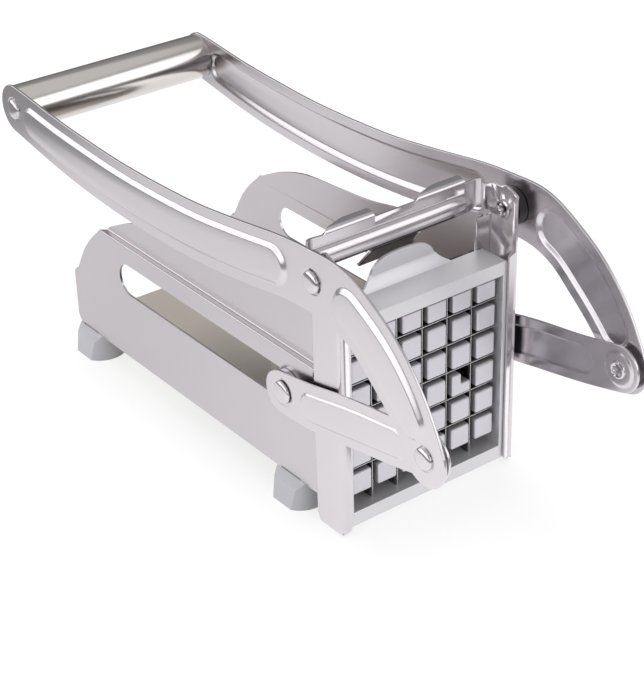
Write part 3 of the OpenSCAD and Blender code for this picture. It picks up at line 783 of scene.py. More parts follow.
def make_materials(finish):
    """All materials by short name.

    Each row has the name, colour, roughness, share of metal, stretch of the grain, its scale and its height,
    and then may have the spread of roughness, the spread of tone, the brightness of edges and any painted
    shade.
    """
    even, brushed, ground = (1.0, 1.0, 1.0), (1.0, 0.06, 1.0), (1.0, 0.05, 1.0)
    sheet, cast = finish.sheet_rough, finish.cast_rough
    # Painted shade on the pusher: pegs and plate darken with depth behind the peg faces, and a dark band runs
    # along the top under the cartridge rim.
    pusher_painted_shade = ((1, PEG_FRONT + 0.6, 1.0, 0.45), (1, 1.0, 7.0, 0.25), (2, 84.6, 85.2, 0.15))
    rows = {
        "sheet": ("satin_sheet_steel", finish.sheet_colour, sheet, 1.0, brushed, 1500.0, 0.004, 0.02, 0.02),
        # Painted shade: the same steel as the sheet row, made darker.
        "body": ("body_sheet_steel", finish.body_shaded_colour, sheet, 1.0, brushed, 1500.0, 0.004, 0.02, 0.02),
        # Painted shade: the steel inside the body darkens towards the front.
        "inner": ("inner_sheet_steel", finish.inner_colour, 0.35, 0.4, ground, 1300.0, 0.01, 0.03, 0.04, 0.1,
                  ((1, 155.0, 95.0, 0.35),)),
        "handle": ("polished_tube_steel", finish.handle_colour, finish.handle_rough, 1.0, (0.03, 1.0, 1.0),
                   1600.0, 0.05, 0.03, 0.02),
        "rivet": ("rivet_steel", finish.sheet_colour, 0.14, 1.0, even, 1200.0, 0.03, 0.03, 0.03),
        # Painted shade: spacers near black for the shade round the pivots.
        "spacer": ("blackened_spacer", finish.spacer_shade_colour, 0.4, 0.6, even, 1500.0, 0.1),
        "cast": ("die_casting", finish.cast_colour, cast, 0.55, even, 2200.0, 0.2, 0.06, 0.02, 0.04),
        "peg": ("pusher_casting", finish.peg_colour, cast, 0.45, even, 2200.0, 0.2, 0.06, 0.02, 0.04,
                pusher_painted_shade),
        # Painted shade: each blade darkens just behind its ground front edge, and its edges get a strong
        # painted highlight.
        "blade": ("ground_blade", finish.blade_colour, 0.25, 1.0, ground, 1800.0, 0.05, 0.06, 0.04, 0.4,
                  ((1, 0.25, 1.4, 0.3),)),
        "bush": ("moulded_bush", finish.bush_colour, 0.45, 0.0, even, 1800.0, 0.15),
        "foot": ("foot_rubber", finish.foot_colour, 0.6, 0.0, even, 2400.0, 0.35, 0.06, 0.03, 0.05),
    }
    groups = grain_group(), wear_and_edge_highlight_group()
    return {key: surface(groups, *row) for key, row in rows.items()}


SHOP = {}


def material(name):
    """Material by its short name, made on first use."""
    if not SHOP:
        SHOP.update(make_materials(bpy.context.scene.cutter_finish))
    return SHOP[name]


# Copies in grids and rows


def geometry_group(name, inputs):
    """Geometry group that takes a piece, some values and a finish."""
    return new_group(name, "GeometryNodeTree",
                     {"Geometry": "NodeSocketGeometry", **inputs, "Finish": "NodeSocketMaterial"},
                     {"Geometry": "NodeSocketGeometry"})


def put_out(tree, enter, leave, inputs):
    """Ends a tree: real copies of the piece at the points, with their material."""
    copies = node(tree, "GeometryNodeInstanceOnPoints", {"Instance": enter.outputs["Geometry"], **inputs})
    real = node(tree, "GeometryNodeRealizeInstances", {0: copies.outputs[0]})
    dressed = node(tree, "GeometryNodeSetMaterial", {"Geometry": real.outputs[0],
                                                     "Material": enter.outputs["Finish"]})
    feed(tree, leave, {"Geometry": dressed.outputs[0]})
    return tree


def grid_tree():
    """Copies of the piece at the points of a grid in X and Z, but for one place."""
    tree, enter, leave = geometry_group("peg_grid", {
        "Columns": CELLS, "Rows": CELLS, "Pitch": PITCH * MM, "Centre": ORIGIN, "Skip": ORIGIN})
    pitch = enter.outputs["Pitch"]
    counts = [enter.outputs[label] for label in ("Columns", "Rows")]
    sizes = [reckoned(tree, "MULTIPLY", reckoned(tree, "SUBTRACT", count, 1.0), pitch) for count in counts]
    grid = node(tree, "GeometryNodeMeshGrid", {
        "Size X": sizes[0], "Size Y": sizes[1], "Vertices X": counts[0], "Vertices Y": counts[1]})
    stood = node(tree, "GeometryNodeTransform", {
        "Geometry": grid.outputs["Mesh"], "Translation": enter.outputs["Centre"],
        "Rotation": (QUARTER, 0.0, 0.0)})
    where = node(tree, "GeometryNodeInputPosition").outputs[0]
    away = measured(tree, "DISTANCE", where, enter.outputs["Skip"])
    kept = reckoned(tree, "GREATER_THAN", away, 0.001)
    return put_out(tree, enter, leave, {"Points": stood.outputs[0], "Selection": kept})


def row_tree():
    """Copies of the piece in a straight row, each turned further about Z."""
    tree, enter, leave = geometry_group("turned_row", {
        "Count": CELLS - 1, "Start": ORIGIN, "Step": ORIGIN, "Turn": 0.0})
    row = node(tree, "GeometryNodeMeshLine", {
        "Count": enter.outputs["Count"], "Start Location": enter.outputs["Start"],
        "Offset": enter.outputs["Step"]})
    index = node(tree, "GeometryNodeInputIndex").outputs[0]
    turn = reckoned(tree, "MULTIPLY", index, enter.outputs["Turn"])
    angles = node(tree, "ShaderNodeCombineXYZ", {"Z": turn})
    return put_out(tree, enter, leave, {"Points": row.outputs[0], "Rotation": angles.outputs[0]})


TREES = {}


def repeated(piece, make_tree, finish, **values):
    """Runs a piece through one of the trees and keeps the result as a plain mesh."""
    if make_tree not in TREES:
        TREES[make_tree] = make_tree()
    modifier = piece.modifiers.new("copies", "NODES")
    modifier.node_group = TREES[make_tree]
    values["Finish"] = finish
    for item in modifier.node_group.interface.items_tree:
        if item.in_out == "INPUT" and item.name in values:
            modifier[item.identifier] = values[item.name]
    return settled(piece)


def place_of(x, y, z):
    """Point of the blade frame in metres in the shared frame."""
    return Vector((x, y + GRID_Y, z)) * MM


# Pieces


class CUTTER_OT_levers(bpy.types.Operator):
    """Makes the two stamped lever arms"""
    bl_idname = "cutter.levers"
    bl_label = "Lever arms"

    def execute(self, context):
        sizes = context.scene.cutter_sizes
        run, dish = sizes.panel_run / MM, sizes.dish_run / MM
        path = smooth_path([(PIVOT.x + y, PIVOT.y + z, w) for y, z, w in ARM_STATIONS], CURVE_STEPS)
        rise = ARM_FACE - ARM_OUT + ARM_RAISE

        def arm():
            shapes = [
                raised(stretch(path, *ARM_PANELS[0]), ARM_MARGIN, rise, run * 1.4, run),
                raised(stretch(path, *ARM_PANELS[1]), ARM_MARGIN, rise, run, run * 1.3),
                dished(PIVOT, 4.7, 0.2, dish),
                dished(CRANK, 4.7, 0.2, dish),
                dished(HANDLE, 4.9, 0.25, dish),
            ]
            holes = [ring(c, PIN_R + PIN_PLAY) for c in (PIVOT, CRANK, HANDLE)]
            return stamped(band(path, -PIN_PLAY), holes, shapes, ARM_OUT, LEVER_SHEET)

        both_sides(arm, "arm_plate", "arm", "lever", material("sheet"), sizes.sheet_edge)
        return {"FINISHED"}


class CUTTER_OT_links(bpy.types.Operator):
    """Makes the two stamped links"""
    bl_idname = "cutter.links"
    bl_label = "Links"

    def execute(self, context):
        sizes = context.scene.cutter_sizes
        run = sizes.panel_run / MM * LINK_RUN
        way = CRANK - AXLE
        below = left_of(way.normalized())
        rows = [(*(AXLE + way * share + below * drop), half) for share, drop, half in LINK_STATIONS]
        path = smooth_path(rows, CURVE_STEPS)

        def link():
            shapes = [
                raised(stretch(path, *LINK_PANEL), LINK_MARGIN, LINK_FACE - LINK_OUT, run, run, 5.0),
                dished(AXLE, 5.2, 0.3, 1.4),
                dished(CRANK, 6.2, 0.5, 1.6),
            ]
            holes = [ring(c, PIN_R + PIN_PLAY) for c in (AXLE, CRANK)]
            return stamped(band(path, -0.04), holes, shapes, LINK_OUT, LEVER_SHEET)

        both_sides(link, "link_plate", "link", "links", material("sheet"), sizes.sheet_edge)
        return {"FINISHED"}


class CUTTER_OT_body_sheets(bpy.types.Operator):
    """Makes the two side sheets of the body with their ledge, slot and front flange"""
    bl_idname = "cutter.body_sheets"
    bl_label = "Body sheets"

    def execute(self, context):
        sizes = context.scene.cutter_sizes
        outer_r, inner_r = sizes.ledge_bend / MM, 0.8
        rise, length, spans = chain((PANEL_OUT, BODY_LOW), (0, 1), (
            ("go", LEDGE - outer_r - BODY_LOW), ("turn", outer_r, QUARTER),
            ("go", LEDGE_STEP - outer_r - inner_r), ("turn", inner_r, -QUARTER),
            ("go", BRACE_LOW - LEDGE - inner_r)))
        extra = length - (BRACE_LOW - BODY_LOW)

        def along(z):
            """Length along the bent sheet at a height."""
            return z - BODY_LOW + extra * clamp((z - LEDGE + outer_r) / (outer_r + inner_r))

        flange, bend, corner, foot_half, foot_gap = 5.0, 1.2, 5.0, 6.0, 0.8
        turn_at = BODY_FRONT + bend
        bend_len = bend * QUARTER
        start = turn_at - bend_len - (flange - bend)
        outline = [
            (start, 0), (start, along(62.0)), (start + 2.5, along(64.5)), (turn_at, along(64.5)),
            (turn_at, along(66.5)), (BODY_FRONT, along(67.5)),
        ]
        outline += [(p.x, along(p.y)) for p in smooth_path([(BODY_FRONT + y, z) for y, z in HUMP], 4)]
        outline += [(BODY_BACK - 2, along(40.0)), (BODY_BACK, along(38.0))]
        outline += arc((BODY_BACK - corner, corner), corner, 0, -QUARTER, 6)
        for y in reversed(FOOT_YS):
            outline += [(y + foot_half, 0), (y + foot_half, foot_gap), (y - foot_half, foot_gap),
                        (y - foot_half, 0)]
        slot_v = along(AXLE.y)
        slot = arc((SLOT[1], slot_v), SLOT_R, -QUARTER, QUARTER, 20)
        slot += arc((SLOT[0], slot_v), SLOT_R, QUARTER, 3 * QUARTER, 20)
        cuts = ([turn_at - bend_len * k / 5 for k in range(6)], bend_cuts(spans))

        def place(y, v):
            (x, z), n = rise(v)
            out = Vector((-n.x, 0, -n.y))
            if y < turn_at and v < along(66.0):
                angle = clamp((turn_at - y) / bend_len) * QUARTER
                x = PANEL_OUT - bend + bend * math.cos(angle) - max(0.0, turn_at - y - bend_len)
                y = turn_at - bend * math.sin(angle)
                out = Vector((math.cos(angle), -math.sin(angle), 0))
            return Vector((x, y, z)), out

        def sheet():
            return bent(blank(outline, [slot], (), cuts), place, BODY_SHEET)

        both_sides(sheet, "body_sheet", "side_panel", "frame", material("body"), sizes.sheet_edge, 2)
        return {"FINISHED"}


class CUTTER_OT_yoke(bpy.types.Operator):
    """Makes the uprights and the brace between them, bent from one sheet"""
    bl_idname = "cutter.yoke"
    bl_label = "Uprights and brace"

    def execute(self, context):
        sizes = context.scene.cutter_sizes
        flat_half = WALL_OUT - BRACE_BEND
        back_y = BRACE_FRONT + BODY_SHEET
        wall_y = back_y - BRACE_BEND
        front_r, rear_r, tab_r, lip_r = 1.5, 1.0, 0.8, 1.0
        front_flange, rear_flange, lip_angle = 4.8, 5.0, math.radians(36)
        wall = wall_y - (UPRIGHT_FRONT + front_r)
        strip, total, spans = chain((0, back_y), (1, 0), (
            ("go", flat_half), ("turn", BRACE_BEND, -QUARTER), ("go", wall), ("turn", front_r, -QUARTER),
            ("go", front_flange - front_r)))
        wall_from = flat_half + BRACE_BEND * QUARTER
        wall_to = wall_from + wall
        rear_from = wall_from + wall_y - (UPRIGHT_BACK - rear_r)
        rear, rear_len, rear_spans = chain((WALL_OUT, UPRIGHT_BACK - rear_r), (0, 1), (
            ("turn", rear_r, QUARTER), ("go", rear_flange - rear_r)))
        rear_end = rear_from - rear_len

        top, cut, relief = UPRIGHT_TOP, 94.8, BRACE_LOW - 0.6
        tab_from, tab_end = top - tab_r, top + 3.6
        lip_half, lip_len = 11.5, 11.6
        tab = chain((back_y, tab_from), (0, 1), (("turn", tab_r, -QUARTER), ("go", 8.0)))[0]
        lip = chain((back_y, BRACE_LOW), (0, -1), (("turn", lip_r, lip_angle), ("go", 12.0)))[0]

        def tab_edge(low, high):
            """Edge of a folded tab, from left to right."""
            return [
                (low, tab_from, 0.6), (low + 11.0, tab_end - 0.4, 2.0), (low + 13.0, tab_end, 2.0),
                (high + 0.4, tab_end, 0.8), (high, tab_from, 0.3),
            ]

        # Corners of the developed sheet: length from the middle, height and radius.
        upper = [
            (total, UPRIGHT_LOW + 1.5, 0), (total, cut, 0.8), (total - 2.0, cut + 1.8, 0.8),
            (total - 2.0, top - 3.0, 0.8), (wall_to + 1.0, top - 1.9, 0.8), (wall_to - 2.5, top - 0.2, 2.0),
            (wall_to - 5.8, top + 1.0, 2.0), (wall_to - 9.5, top - 0.7, 2.0),
            (wall_from + 1.5, top - 0.9, 1.5), (flat_half + 6.2, top - 2.9, 1.2),
            (flat_half + 5.0, top - 2.9, 0.8), (flat_half + 4.4, top, 0.5),
        ]
        lip_edge = [
            (lip_half + 2.0, BRACE_LOW - lip_len, 1.5), (lip_half, BRACE_LOW - 1.4, 0.6),
            (lip_half + 1.2, BRACE_LOW, 0.8),
        ]
        foot = [
            (flat_half - 1.5, BRACE_LOW, 1.5), (flat_half + 1.0, BRACE_LOW + 1.2, 1.0),
            (rear_from + 0.4, BRACE_LOW + 0.4, 0.3), (rear_from + 0.4, relief, 0.3),
            (rear_end - 3.0, relief, 1.0), (rear_end - 3.2, 90.5, 1.0), (rear_end, 88.0, 1.0),
            (rear_end, UPRIGHT_LOW + 3, 0.5), (rear_from - 0.2, UPRIGHT_LOW + 3, 0.4),
            (rear_from + 1.0, UPRIGHT_LOW, 1.0), (total - 0.8, UPRIGHT_LOW, 0.5),
        ]
        middle = [corner for low, high in reversed(TABS) for corner in tab_edge(low, high)[::-1]]

        def turned(corners):
            """The same corners on the left, in the other order."""
            return [(-u, v, r) for u, v, r in corners[::-1]]

        right = lip_edge + foot + upper
        outline = rounded(right + middle + turned(right), 4)
        pivot_u = wall_from + wall_y - PIVOT.x
        holes = [ring((side * pivot_u, PIVOT.y), PIN_R) for side in (-1, 1)]

        bead_low, bead_high, bead_r, bead_rise, bead_end = -41.5, 34.2, 4.3, 3.0, 2.4
        bead_z = BRACE_LOW + bead_r + 0.05
        lines = []
        for share in (0.0, 0.05, 0.12, 0.22, 0.35, 0.5, 0.65, 0.82):
            across, inset = bead_r * (1 - share), bead_end * share
            low_u, high_u = bead_low + inset, bead_high - inset
            low_v, high_v = bead_z - across, bead_z + across
            lines.append([(low_u, low_v), (high_u, low_v), (high_u, high_v), (low_u, high_v)])

        def bead(u, v):
            """Height of the half-round bead."""
            share = min(1.0, abs(v - bead_z) / bead_r)
            near = clamp(min((u - bead_low) / bead_end, (bead_high - u) / bead_end))
            return bead_rise * math.sqrt(1 - share * share) * math.sqrt(1 - (1 - near) ** 2)

        def on_tab(u):
            """Whether a place along the brace is in one of the tabs."""
            return any(low - 0.3 < u < high + 0.6 for low, high in TABS)

        def place(u, v):
            side = 1 if u >= 0 else -1
            a = abs(u)
            if lip_half + 5 < a < rear_from and v < BRACE_LOW - 0.3:
                p, n = rear(rear_from - a)
                return Vector((side * p.x, p.y, v)), Vector((-side * n.x, -n.y, 0))
            if a < lip_half + 5 and v < BRACE_LOW:
                p, n = lip(BRACE_LOW - v)
                return Vector((u, p.x, p.y)), Vector((0, n.x, n.y))
            if v > tab_from and on_tab(u):
                p, n = tab(v - tab_from)
                return Vector((u, p.x, p.y)), Vector((0, -n.x, -n.y))
            p, n = strip(a)
            return Vector((side * p.x, p.y - bead(u, v), v)), Vector((side * n.x, n.y, 0))

        rear_bends = [(rear_from - high, rear_from - low) for low, high in rear_spans]
        cuts_u = bend_cuts(spans + rear_bends, 8)
        cuts_u += [-u for u in cuts_u]
        for low, high in TABS:
            cuts_u += [low + 1.5 * k for k in range(12)] + [high]
        cuts_v = [tab_from + 0.25 * k for k in range(7)] + [BRACE_LOW - 0.21 * k for k in range(5)]
        parts = [bent(blank(outline, holes, lines, (cuts_u, cuts_v)), place, BODY_SHEET)]
        foot_y, foot_z = (UPRIGHT_FRONT + 3, UPRIGHT_BACK - 3), (UPRIGHT_LOW, UPRIGHT_LOW + BODY_SHEET)
        for low, high in ((-WALL_OUT + BODY_SHEET, -WALL_OUT + 8.0), (WALL_OUT - 8.0, WALL_OUT - BODY_SHEET)):
            parts.append(block((low, foot_y[0], foot_z[0]), (high, foot_y[1], foot_z[1])))
        piece = softened(new_object("yoke_sheet", joined(*parts), material("sheet")), sizes.sheet_edge, 2)
        fitted(piece, "frame", "steel", "upright_left", "upright_right", "cross_brace")
        return {"FINISHED"}


class CUTTER_OT_cartridge(bpy.types.Operator):
    """Makes the cast cartridge with its ribs and pull tongue"""
    bl_idname = "cutter.cartridge"
    bl_label = "Blade cartridge"

    def execute(self, context):
        sizes = context.scene.cutter_sizes
        outer = rounded(rectangle(CART_HALF, CART_LOW, CART_TOP, 0.6, 1.2), 3)
        opening = rectangle(OPEN_HALF, OPEN_LOW, OPEN_TOP)
        shell = prism(outer, CART_FRONT, CART_BACK, [opening])
        ribs = [block((min(s * CART_HALF, s * RIB_HALF), CART_FRONT + 2.1, CART_LOW),
                      (max(s * CART_HALF, s * RIB_HALF), CART_BACK, CART_TOP - 3.5)) for s in (-1, 1)]
        half = smooth_path(((25.4, -2.1), (21.8, 0.3), (18.1, 2.7), (15.6, 5.6), (13.7, 8.7), (9.8, 11.0),
                            (4.9, 11.9), (0, 12.1)), 5)
        outline = half + [(-p.x, p.y) for p in half[-2::-1]] + [(-25.4, -3.0), (25.4, -3.0)]
        lean, low, high = 2.8, -1.5, 5.6

        def place(u, v):
            t = clamp((v - low) / (high - low))
            bow = ease(t) * 0.5 + t * 0.5
            tilt = math.atan2(lean, high - low) * (4 * t * (1 - t)) ** 0.3
            out = Vector((0, math.cos(tilt), -math.sin(tilt)))
            return Vector((u, CART_BACK + lean * bow, CART_TOP + v)), out

        tongue = bent(blank(outline, (), (), ((), bend_cuts([(low, high)], 8))), place, TONGUE_T)
        piece = new_object("cartridge_shell", joined(shell, *ribs, tongue), material("cast"))
        fitted(softened(piece, sizes.cast_edge), "frame", "cast_metal", "blade_cartridge")
        return {"FINISHED"}


class CUTTER_OT_blades(bpy.types.Operator):
    """Makes the two crossing rows of ground blades"""
    bl_idname = "cutter.blades"
    bl_label = "Blades"

    def execute(self, context):
        grind = context.scene.cutter_sizes.blade_grind / MM
        half, tip = BLADE_T / 2, BLADE_TIP / 2
        gap = half + 0.05
        offsets = [(k - (CELLS - 2) / 2) * PITCH for k in range(CELLS - 1)]

        def strip(low, high, front_notched):
            """Outline of a blade in length and depth, notched to half its depth where others cross it."""
            sign, level = (-1, 0.0) if front_notched else (1, BLADE_DEPTH)
            shape = ((-gap, level), (-gap, BLADE_DEPTH / 2), (gap, BLADE_DEPTH / 2), (gap, level))
            notches = [(c + sign * across, depth) for c in offsets[::sign] for across, depth in shape]
            corners = [(low, 0.0), (low, BLADE_DEPTH), (high, BLADE_DEPTH), (high, 0.0)]
            return corners + notches if front_notched else corners[:2] + notches + corners[2:]

        def wedge(v, w):
            """Half thickness towards the ground front edge."""
            return w * (tip + (half - tip) * clamp(v / grind)) / half

        rows = (
            ("upright_blades", "vertical_blades", OPEN_LOW - BLADE_SEAT - GRID_Z,
             OPEN_TOP + BLADE_SEAT - GRID_Z, True, lambda u, v, w: Vector((wedge(v, w), v, u)),
             place_of(offsets[0], 0, GRID_Z), Vector((PITCH * MM, 0, 0))),
            ("level_blades", "horizontal_blades", -OPEN_HALF - BLADE_SEAT,
             OPEN_HALF + BLADE_SEAT, False, lambda u, v, w: Vector((u, v, wedge(v, w))),
             place_of(0, 0, GRID_Z + offsets[0]), Vector((0, 0, PITCH * MM))),
        )
        for name, cad, low, high, front_notched, turned, start, step in rows:
            flat = blank(strip(low, high, front_notched), (), (), ((), (grind,)))
            piece = new_object(name, solid(flat, turned, -half, half), material("blade"), 0)
            for polygon in piece.data.polygons:
                polygon.use_smooth = False
            repeated(piece, row_tree, material("blade"), Start=start, Step=step)
            fitted(piece, "frame", "blade_steel", cad)
        return {"FINISHED"}


class CUTTER_OT_pusher_head(bpy.types.Operator):
    """Makes the pusher plate with its bosses and its grid of pegs"""
    bl_idname = "cutter.pusher_head"
    bl_label = "Pusher head"

    def execute(self, context):
        sizes = context.scene.cutter_sizes
        finish = material("peg")
        half, sunk = PEG / 2, PLATE_FRONT + 1
        places = [(k + 0.5 - CELLS / 2) * PITCH for k in range(CELLS)]
        odd_x, odd_z = places[4], GRID_Z + places[2]
        pegs = new_object("peg_field", block((-half, PEG_FRONT, -half), (half, sunk, half)), finish, 0)
        softened(pegs, sizes.peg_edge)
        repeated(pegs, grid_tree, finish, Centre=place_of(0, 0, GRID_Z), Skip=place_of(odd_x, 0, odd_z))

        corners = ((-half, -half), (half, -half), (half, 0), (0, 0), (0, half), (-half, half))
        notched = prism([(odd_x + u, odd_z + v) for u, v in corners], PEG_FRONT, sunk)
        odd_peg = new_object("corner_peg", notched, finish)
        softened(odd_peg, sizes.peg_edge * 0.7)

        outer = rounded(rectangle(OPEN_HALF, BLOCK_LOW, OPEN_TOP, 1, 1), 3)
        hole = rounded(rectangle(OPEN_HALF - RIM_WALL, BLOCK_LOW + RIM_WALL, OPEN_TOP - RIM_WALL, 1, 1), 3)
        parts = [prism(outer, PLATE_FRONT, PLATE_BACK), prism(outer, PLATE_BACK, RIM_BACK, [hole])]
        for x, z in ((-1, -1), (-1, 1), (1, -1), (1, 1)):
            centre = (x * BOSSES[0], GRID_Z + z * BOSSES[1])
            parts.append(prism(ring(centre, 5.0), PLATE_BACK, RIM_BACK, [ring(centre, 2.5, 24)]))
        head = new_object("pusher_head", joined(*parts), finish)
        softened(head, sizes.cast_edge, 2)
        whole = joined(*[from_mesh(piece) for piece in (pegs, odd_peg, head)])
        for piece in (pegs, odd_peg):
            bpy.data.objects.remove(piece)
        whole.to_mesh(head.data)
        whole.free()
        head.data.set_sharp_from_angle(angle=CAST_SHARP)
        fitted(head, "pusher", "cast_metal", "pusher_block")
        return {"FINISHED"}


class CUTTER_OT_rivets(bpy.types.Operator):
    """Makes the rivets, the axle and the rod of the handle, each as a pair of turned halves"""
    bl_idname = "cutter.rivets"
    bl_label = "Rivets and pins"

    def execute(self, context):
        def clinched(x, depth):
            """Hollow tail of a rivet with its torn rim rolled over, from the hollow outwards."""
            return [(x + depth, 0.0), (x + depth, 1.1, 0.3), (x + 1.0, 1.5, 0.45), (x - 0.4, 1.9, 0.4),
                    (x - 1.0, 2.4, 0.2), (x - 1.2, 3.0), (x - 0.9, 3.6), (x - 0.3, 3.85), (x, 3.85),
                    (x, PIN_R)]

        def headed(level, r, h):
            """End of a pin with a domed head on a level."""
            return [(level, PIN_R)] + domed(level, r, h)

        middle = [(0.0, 0.0), (0.0, PIN_R)]
        pivot = clinched(WALL_OUT - BODY_SHEET, 5.0) + headed(ARM_OUT + 0.3, 4.5, 1.8)
        crank = [(LINK_FACE + 0.3, 0.0), (LINK_FACE + 0.3, 6.7), (LINK_FACE + 0.5, 7.0), (ARM_IN, 7.0),
                 (ARM_IN, PIN_R)] + headed(ARM_OUT - 0.2, 4.5, 2.0)
        stud = clinched(LINK_IN - 0.1, 1.9) + [(LINK_OUT + 0.05, PIN_R), (LINK_OUT + 0.05, 6.8),
                                              (LINK_FACE - 0.2, 7.0), (LINK_FACE, 6.8), (LINK_FACE, 0.0)]
        axle = middle + headed(LINK_OUT + 0.1, 4.8, 1.6)
        rod = middle + headed(ARM_OUT - 0.2, 4.6, 2.0)
        jobs = (
            ("pivot_pins", pivot, PIVOT, "frame", "steel", ("pivot_rivet_left", "pivot_rivet_right")),
            ("crank_pins", crank, CRANK, "lever", "steel", ("crank_rivet_left", "crank_rivet_right")),
            ("link_pins", stud, CRANK, "links", "steel", ("link_stud_left", "link_stud_right")),
            ("axle_rod", axle, AXLE, "pusher", "steel", ("axle",)),
            ("grip_rod", rod, HANDLE, "lever", "handle_steel", ("handle_rod",)),
        )
        for name, profile, at, body, slot, nodes in jobs:
            piece = new_object(name, lathe(profile), material("rivet"), 0)
            piece.data.set_sharp_from_angle(angle=TURNED_SHARP)
            repeated(piece, row_tree, material("rivet"), Count=2, Start=place_of(0, at.x, at.y), Turn=math.pi)
            fitted(piece, body, slot, *nodes)
        return {"FINISHED"}


class CUTTER_OT_handle(bpy.types.Operator):
    """Makes the polished tube of the handle"""
    bl_idname = "cutter.handle"
    bl_label = "Handle tube"

    def execute(self, context):
        rim = arc((-ARM_IN + TUBE_EDGE, TUBE_R - TUBE_EDGE), TUBE_EDGE, 2 * QUARTER, QUARTER, 4)
        inner_r = TUBE_R - TUBE_WALL
        profile = [*rim, *((-x, r) for x, r in rim[::-1]), (ARM_IN, inner_r), (-ARM_IN, inner_r), rim[0]]
        bm = lathe(profile, 128)
        bmesh.ops.remove_doubles(bm, verts=bm.verts[:], dist=1e-5)
        bmesh.ops.recalc_face_normals(bm, faces=bm.faces[:])
        bm.transform(Matrix.Translation((0, HANDLE.x, HANDLE.y)))
        piece = new_object("grip_tube", bm, material("handle"))
        piece.data.set_sharp_from_angle(angle=TURNED_SHARP)
        fitted(piece, "lever", "handle_steel", "handle_tube")
        return {"FINISHED"}


class CUTTER_OT_feet(bpy.types.Operator):
    """Makes the four moulded feet from the solids, with merged faces and rounded edges"""
    bl_idname = "cutter.feet"
    bl_label = "Feet"

    def execute(self, context):
        for place in ("front_left", "front_right", "rear_left", "rear_right"):
            cad = "foot_" + place
            bm = from_mesh(frame["nodes"][cad])
            bmesh.ops.remove_doubles(bm, verts=bm.verts[:], dist=1e-6)
            bmesh.ops.dissolve_limit(bm, angle_limit=math.radians(3), verts=bm.verts[:], edges=bm.edges[:])
            piece = smooth_object("foot_pad_" + place, bm, material("foot"))
            softened(piece, FOOT_EDGE, 3, 28)
            fitted(piece, "frame", "foot_rubber", cad)
        return {"FINISHED"}


class CUTTER_OT_finishes(bpy.types.Operator):
    """Gives the CAD pieces that stay their materials"""
    bl_idname = "cutter.finishes"
    bl_label = "Finishes"

    def execute(self, context):
        by_slot = {"steel": "sheet", "inner_steel": "inner", "handle_steel": "handle", "cast_metal": "cast",
                   "blade_steel": "blade", "bush_plastic": "bush", "foot_rubber": "foot"}
        slots = {part["node"]: part["material_slot"] for part in frame["record"]["subparts"]}
        for name, piece in frame["nodes"].items():
            kind = by_slot[slots[name]]
            if name.startswith(("slide_washer", "carrier_rivets", "foot_rivets")):
                kind = "rivet"
            # Painted shade: the spacers get the near-black material for the shade round the pivots.
            if name.startswith("pivot_spacer"):
                kind = "spacer"
            for holder in piece.material_slots:
                holder.material = material(kind)
        return {"FINISHED"}


# Stage


def pale_floor(colour):
    """Floor that is white to the eye and in the metal, and keeps a faint shadow."""
    made = bpy.data.materials.new("pale_floor")
    made.use_nodes = True
    tree = made.node_tree
    shader = tree.nodes["Principled BSDF"]
    feed(tree, shader, {"Base Color": (*colour, 1), "Roughness": 1.0, "Specular IOR Level": 0.0})
    rays = node(tree, "ShaderNodeLightPath")
    eye = rays.outputs["Is Camera Ray"]
    seen = reckoned(tree, "MAXIMUM", eye, rays.outputs["Is Glossy Ray"])
    matt = node(tree, "ShaderNodeBsdfDiffuse", {"Color": (0.3, 0.3, 0.3, 1)})
    place = node(tree, "ShaderNodeTexCoord").outputs["Object"]
    depth = node(tree, "ShaderNodeSeparateXYZ", {0: place}).outputs["Y"]
    near = ranged(tree, depth, -0.08, 0.12, 0.92, 0.66)
    far = ranged(tree, measured(tree, "LENGTH", place), 0.31, 0.4, 1.0, 0.05, "SMOOTHSTEP")
    level = node(tree, "ShaderNodeMix", {0: eye, 2: reckoned(tree, "MULTIPLY", near, far), 3: 0.74})
    glow = node(tree, "ShaderNodeEmission", {"Color": (1, 1, 1, 1), "Strength": level.outputs[0]})
    bright = node(tree, "ShaderNodeAddShader", {0: matt.outputs[0], 1: glow.outputs[0]})
    mix = node(tree, "ShaderNodeMixShader", {0: seen, 1: shader.outputs[0], 2: bright.outputs[0]})
    feed(tree, tree.nodes["Material Output"], {"Surface": mix.outputs[0]})
    return made


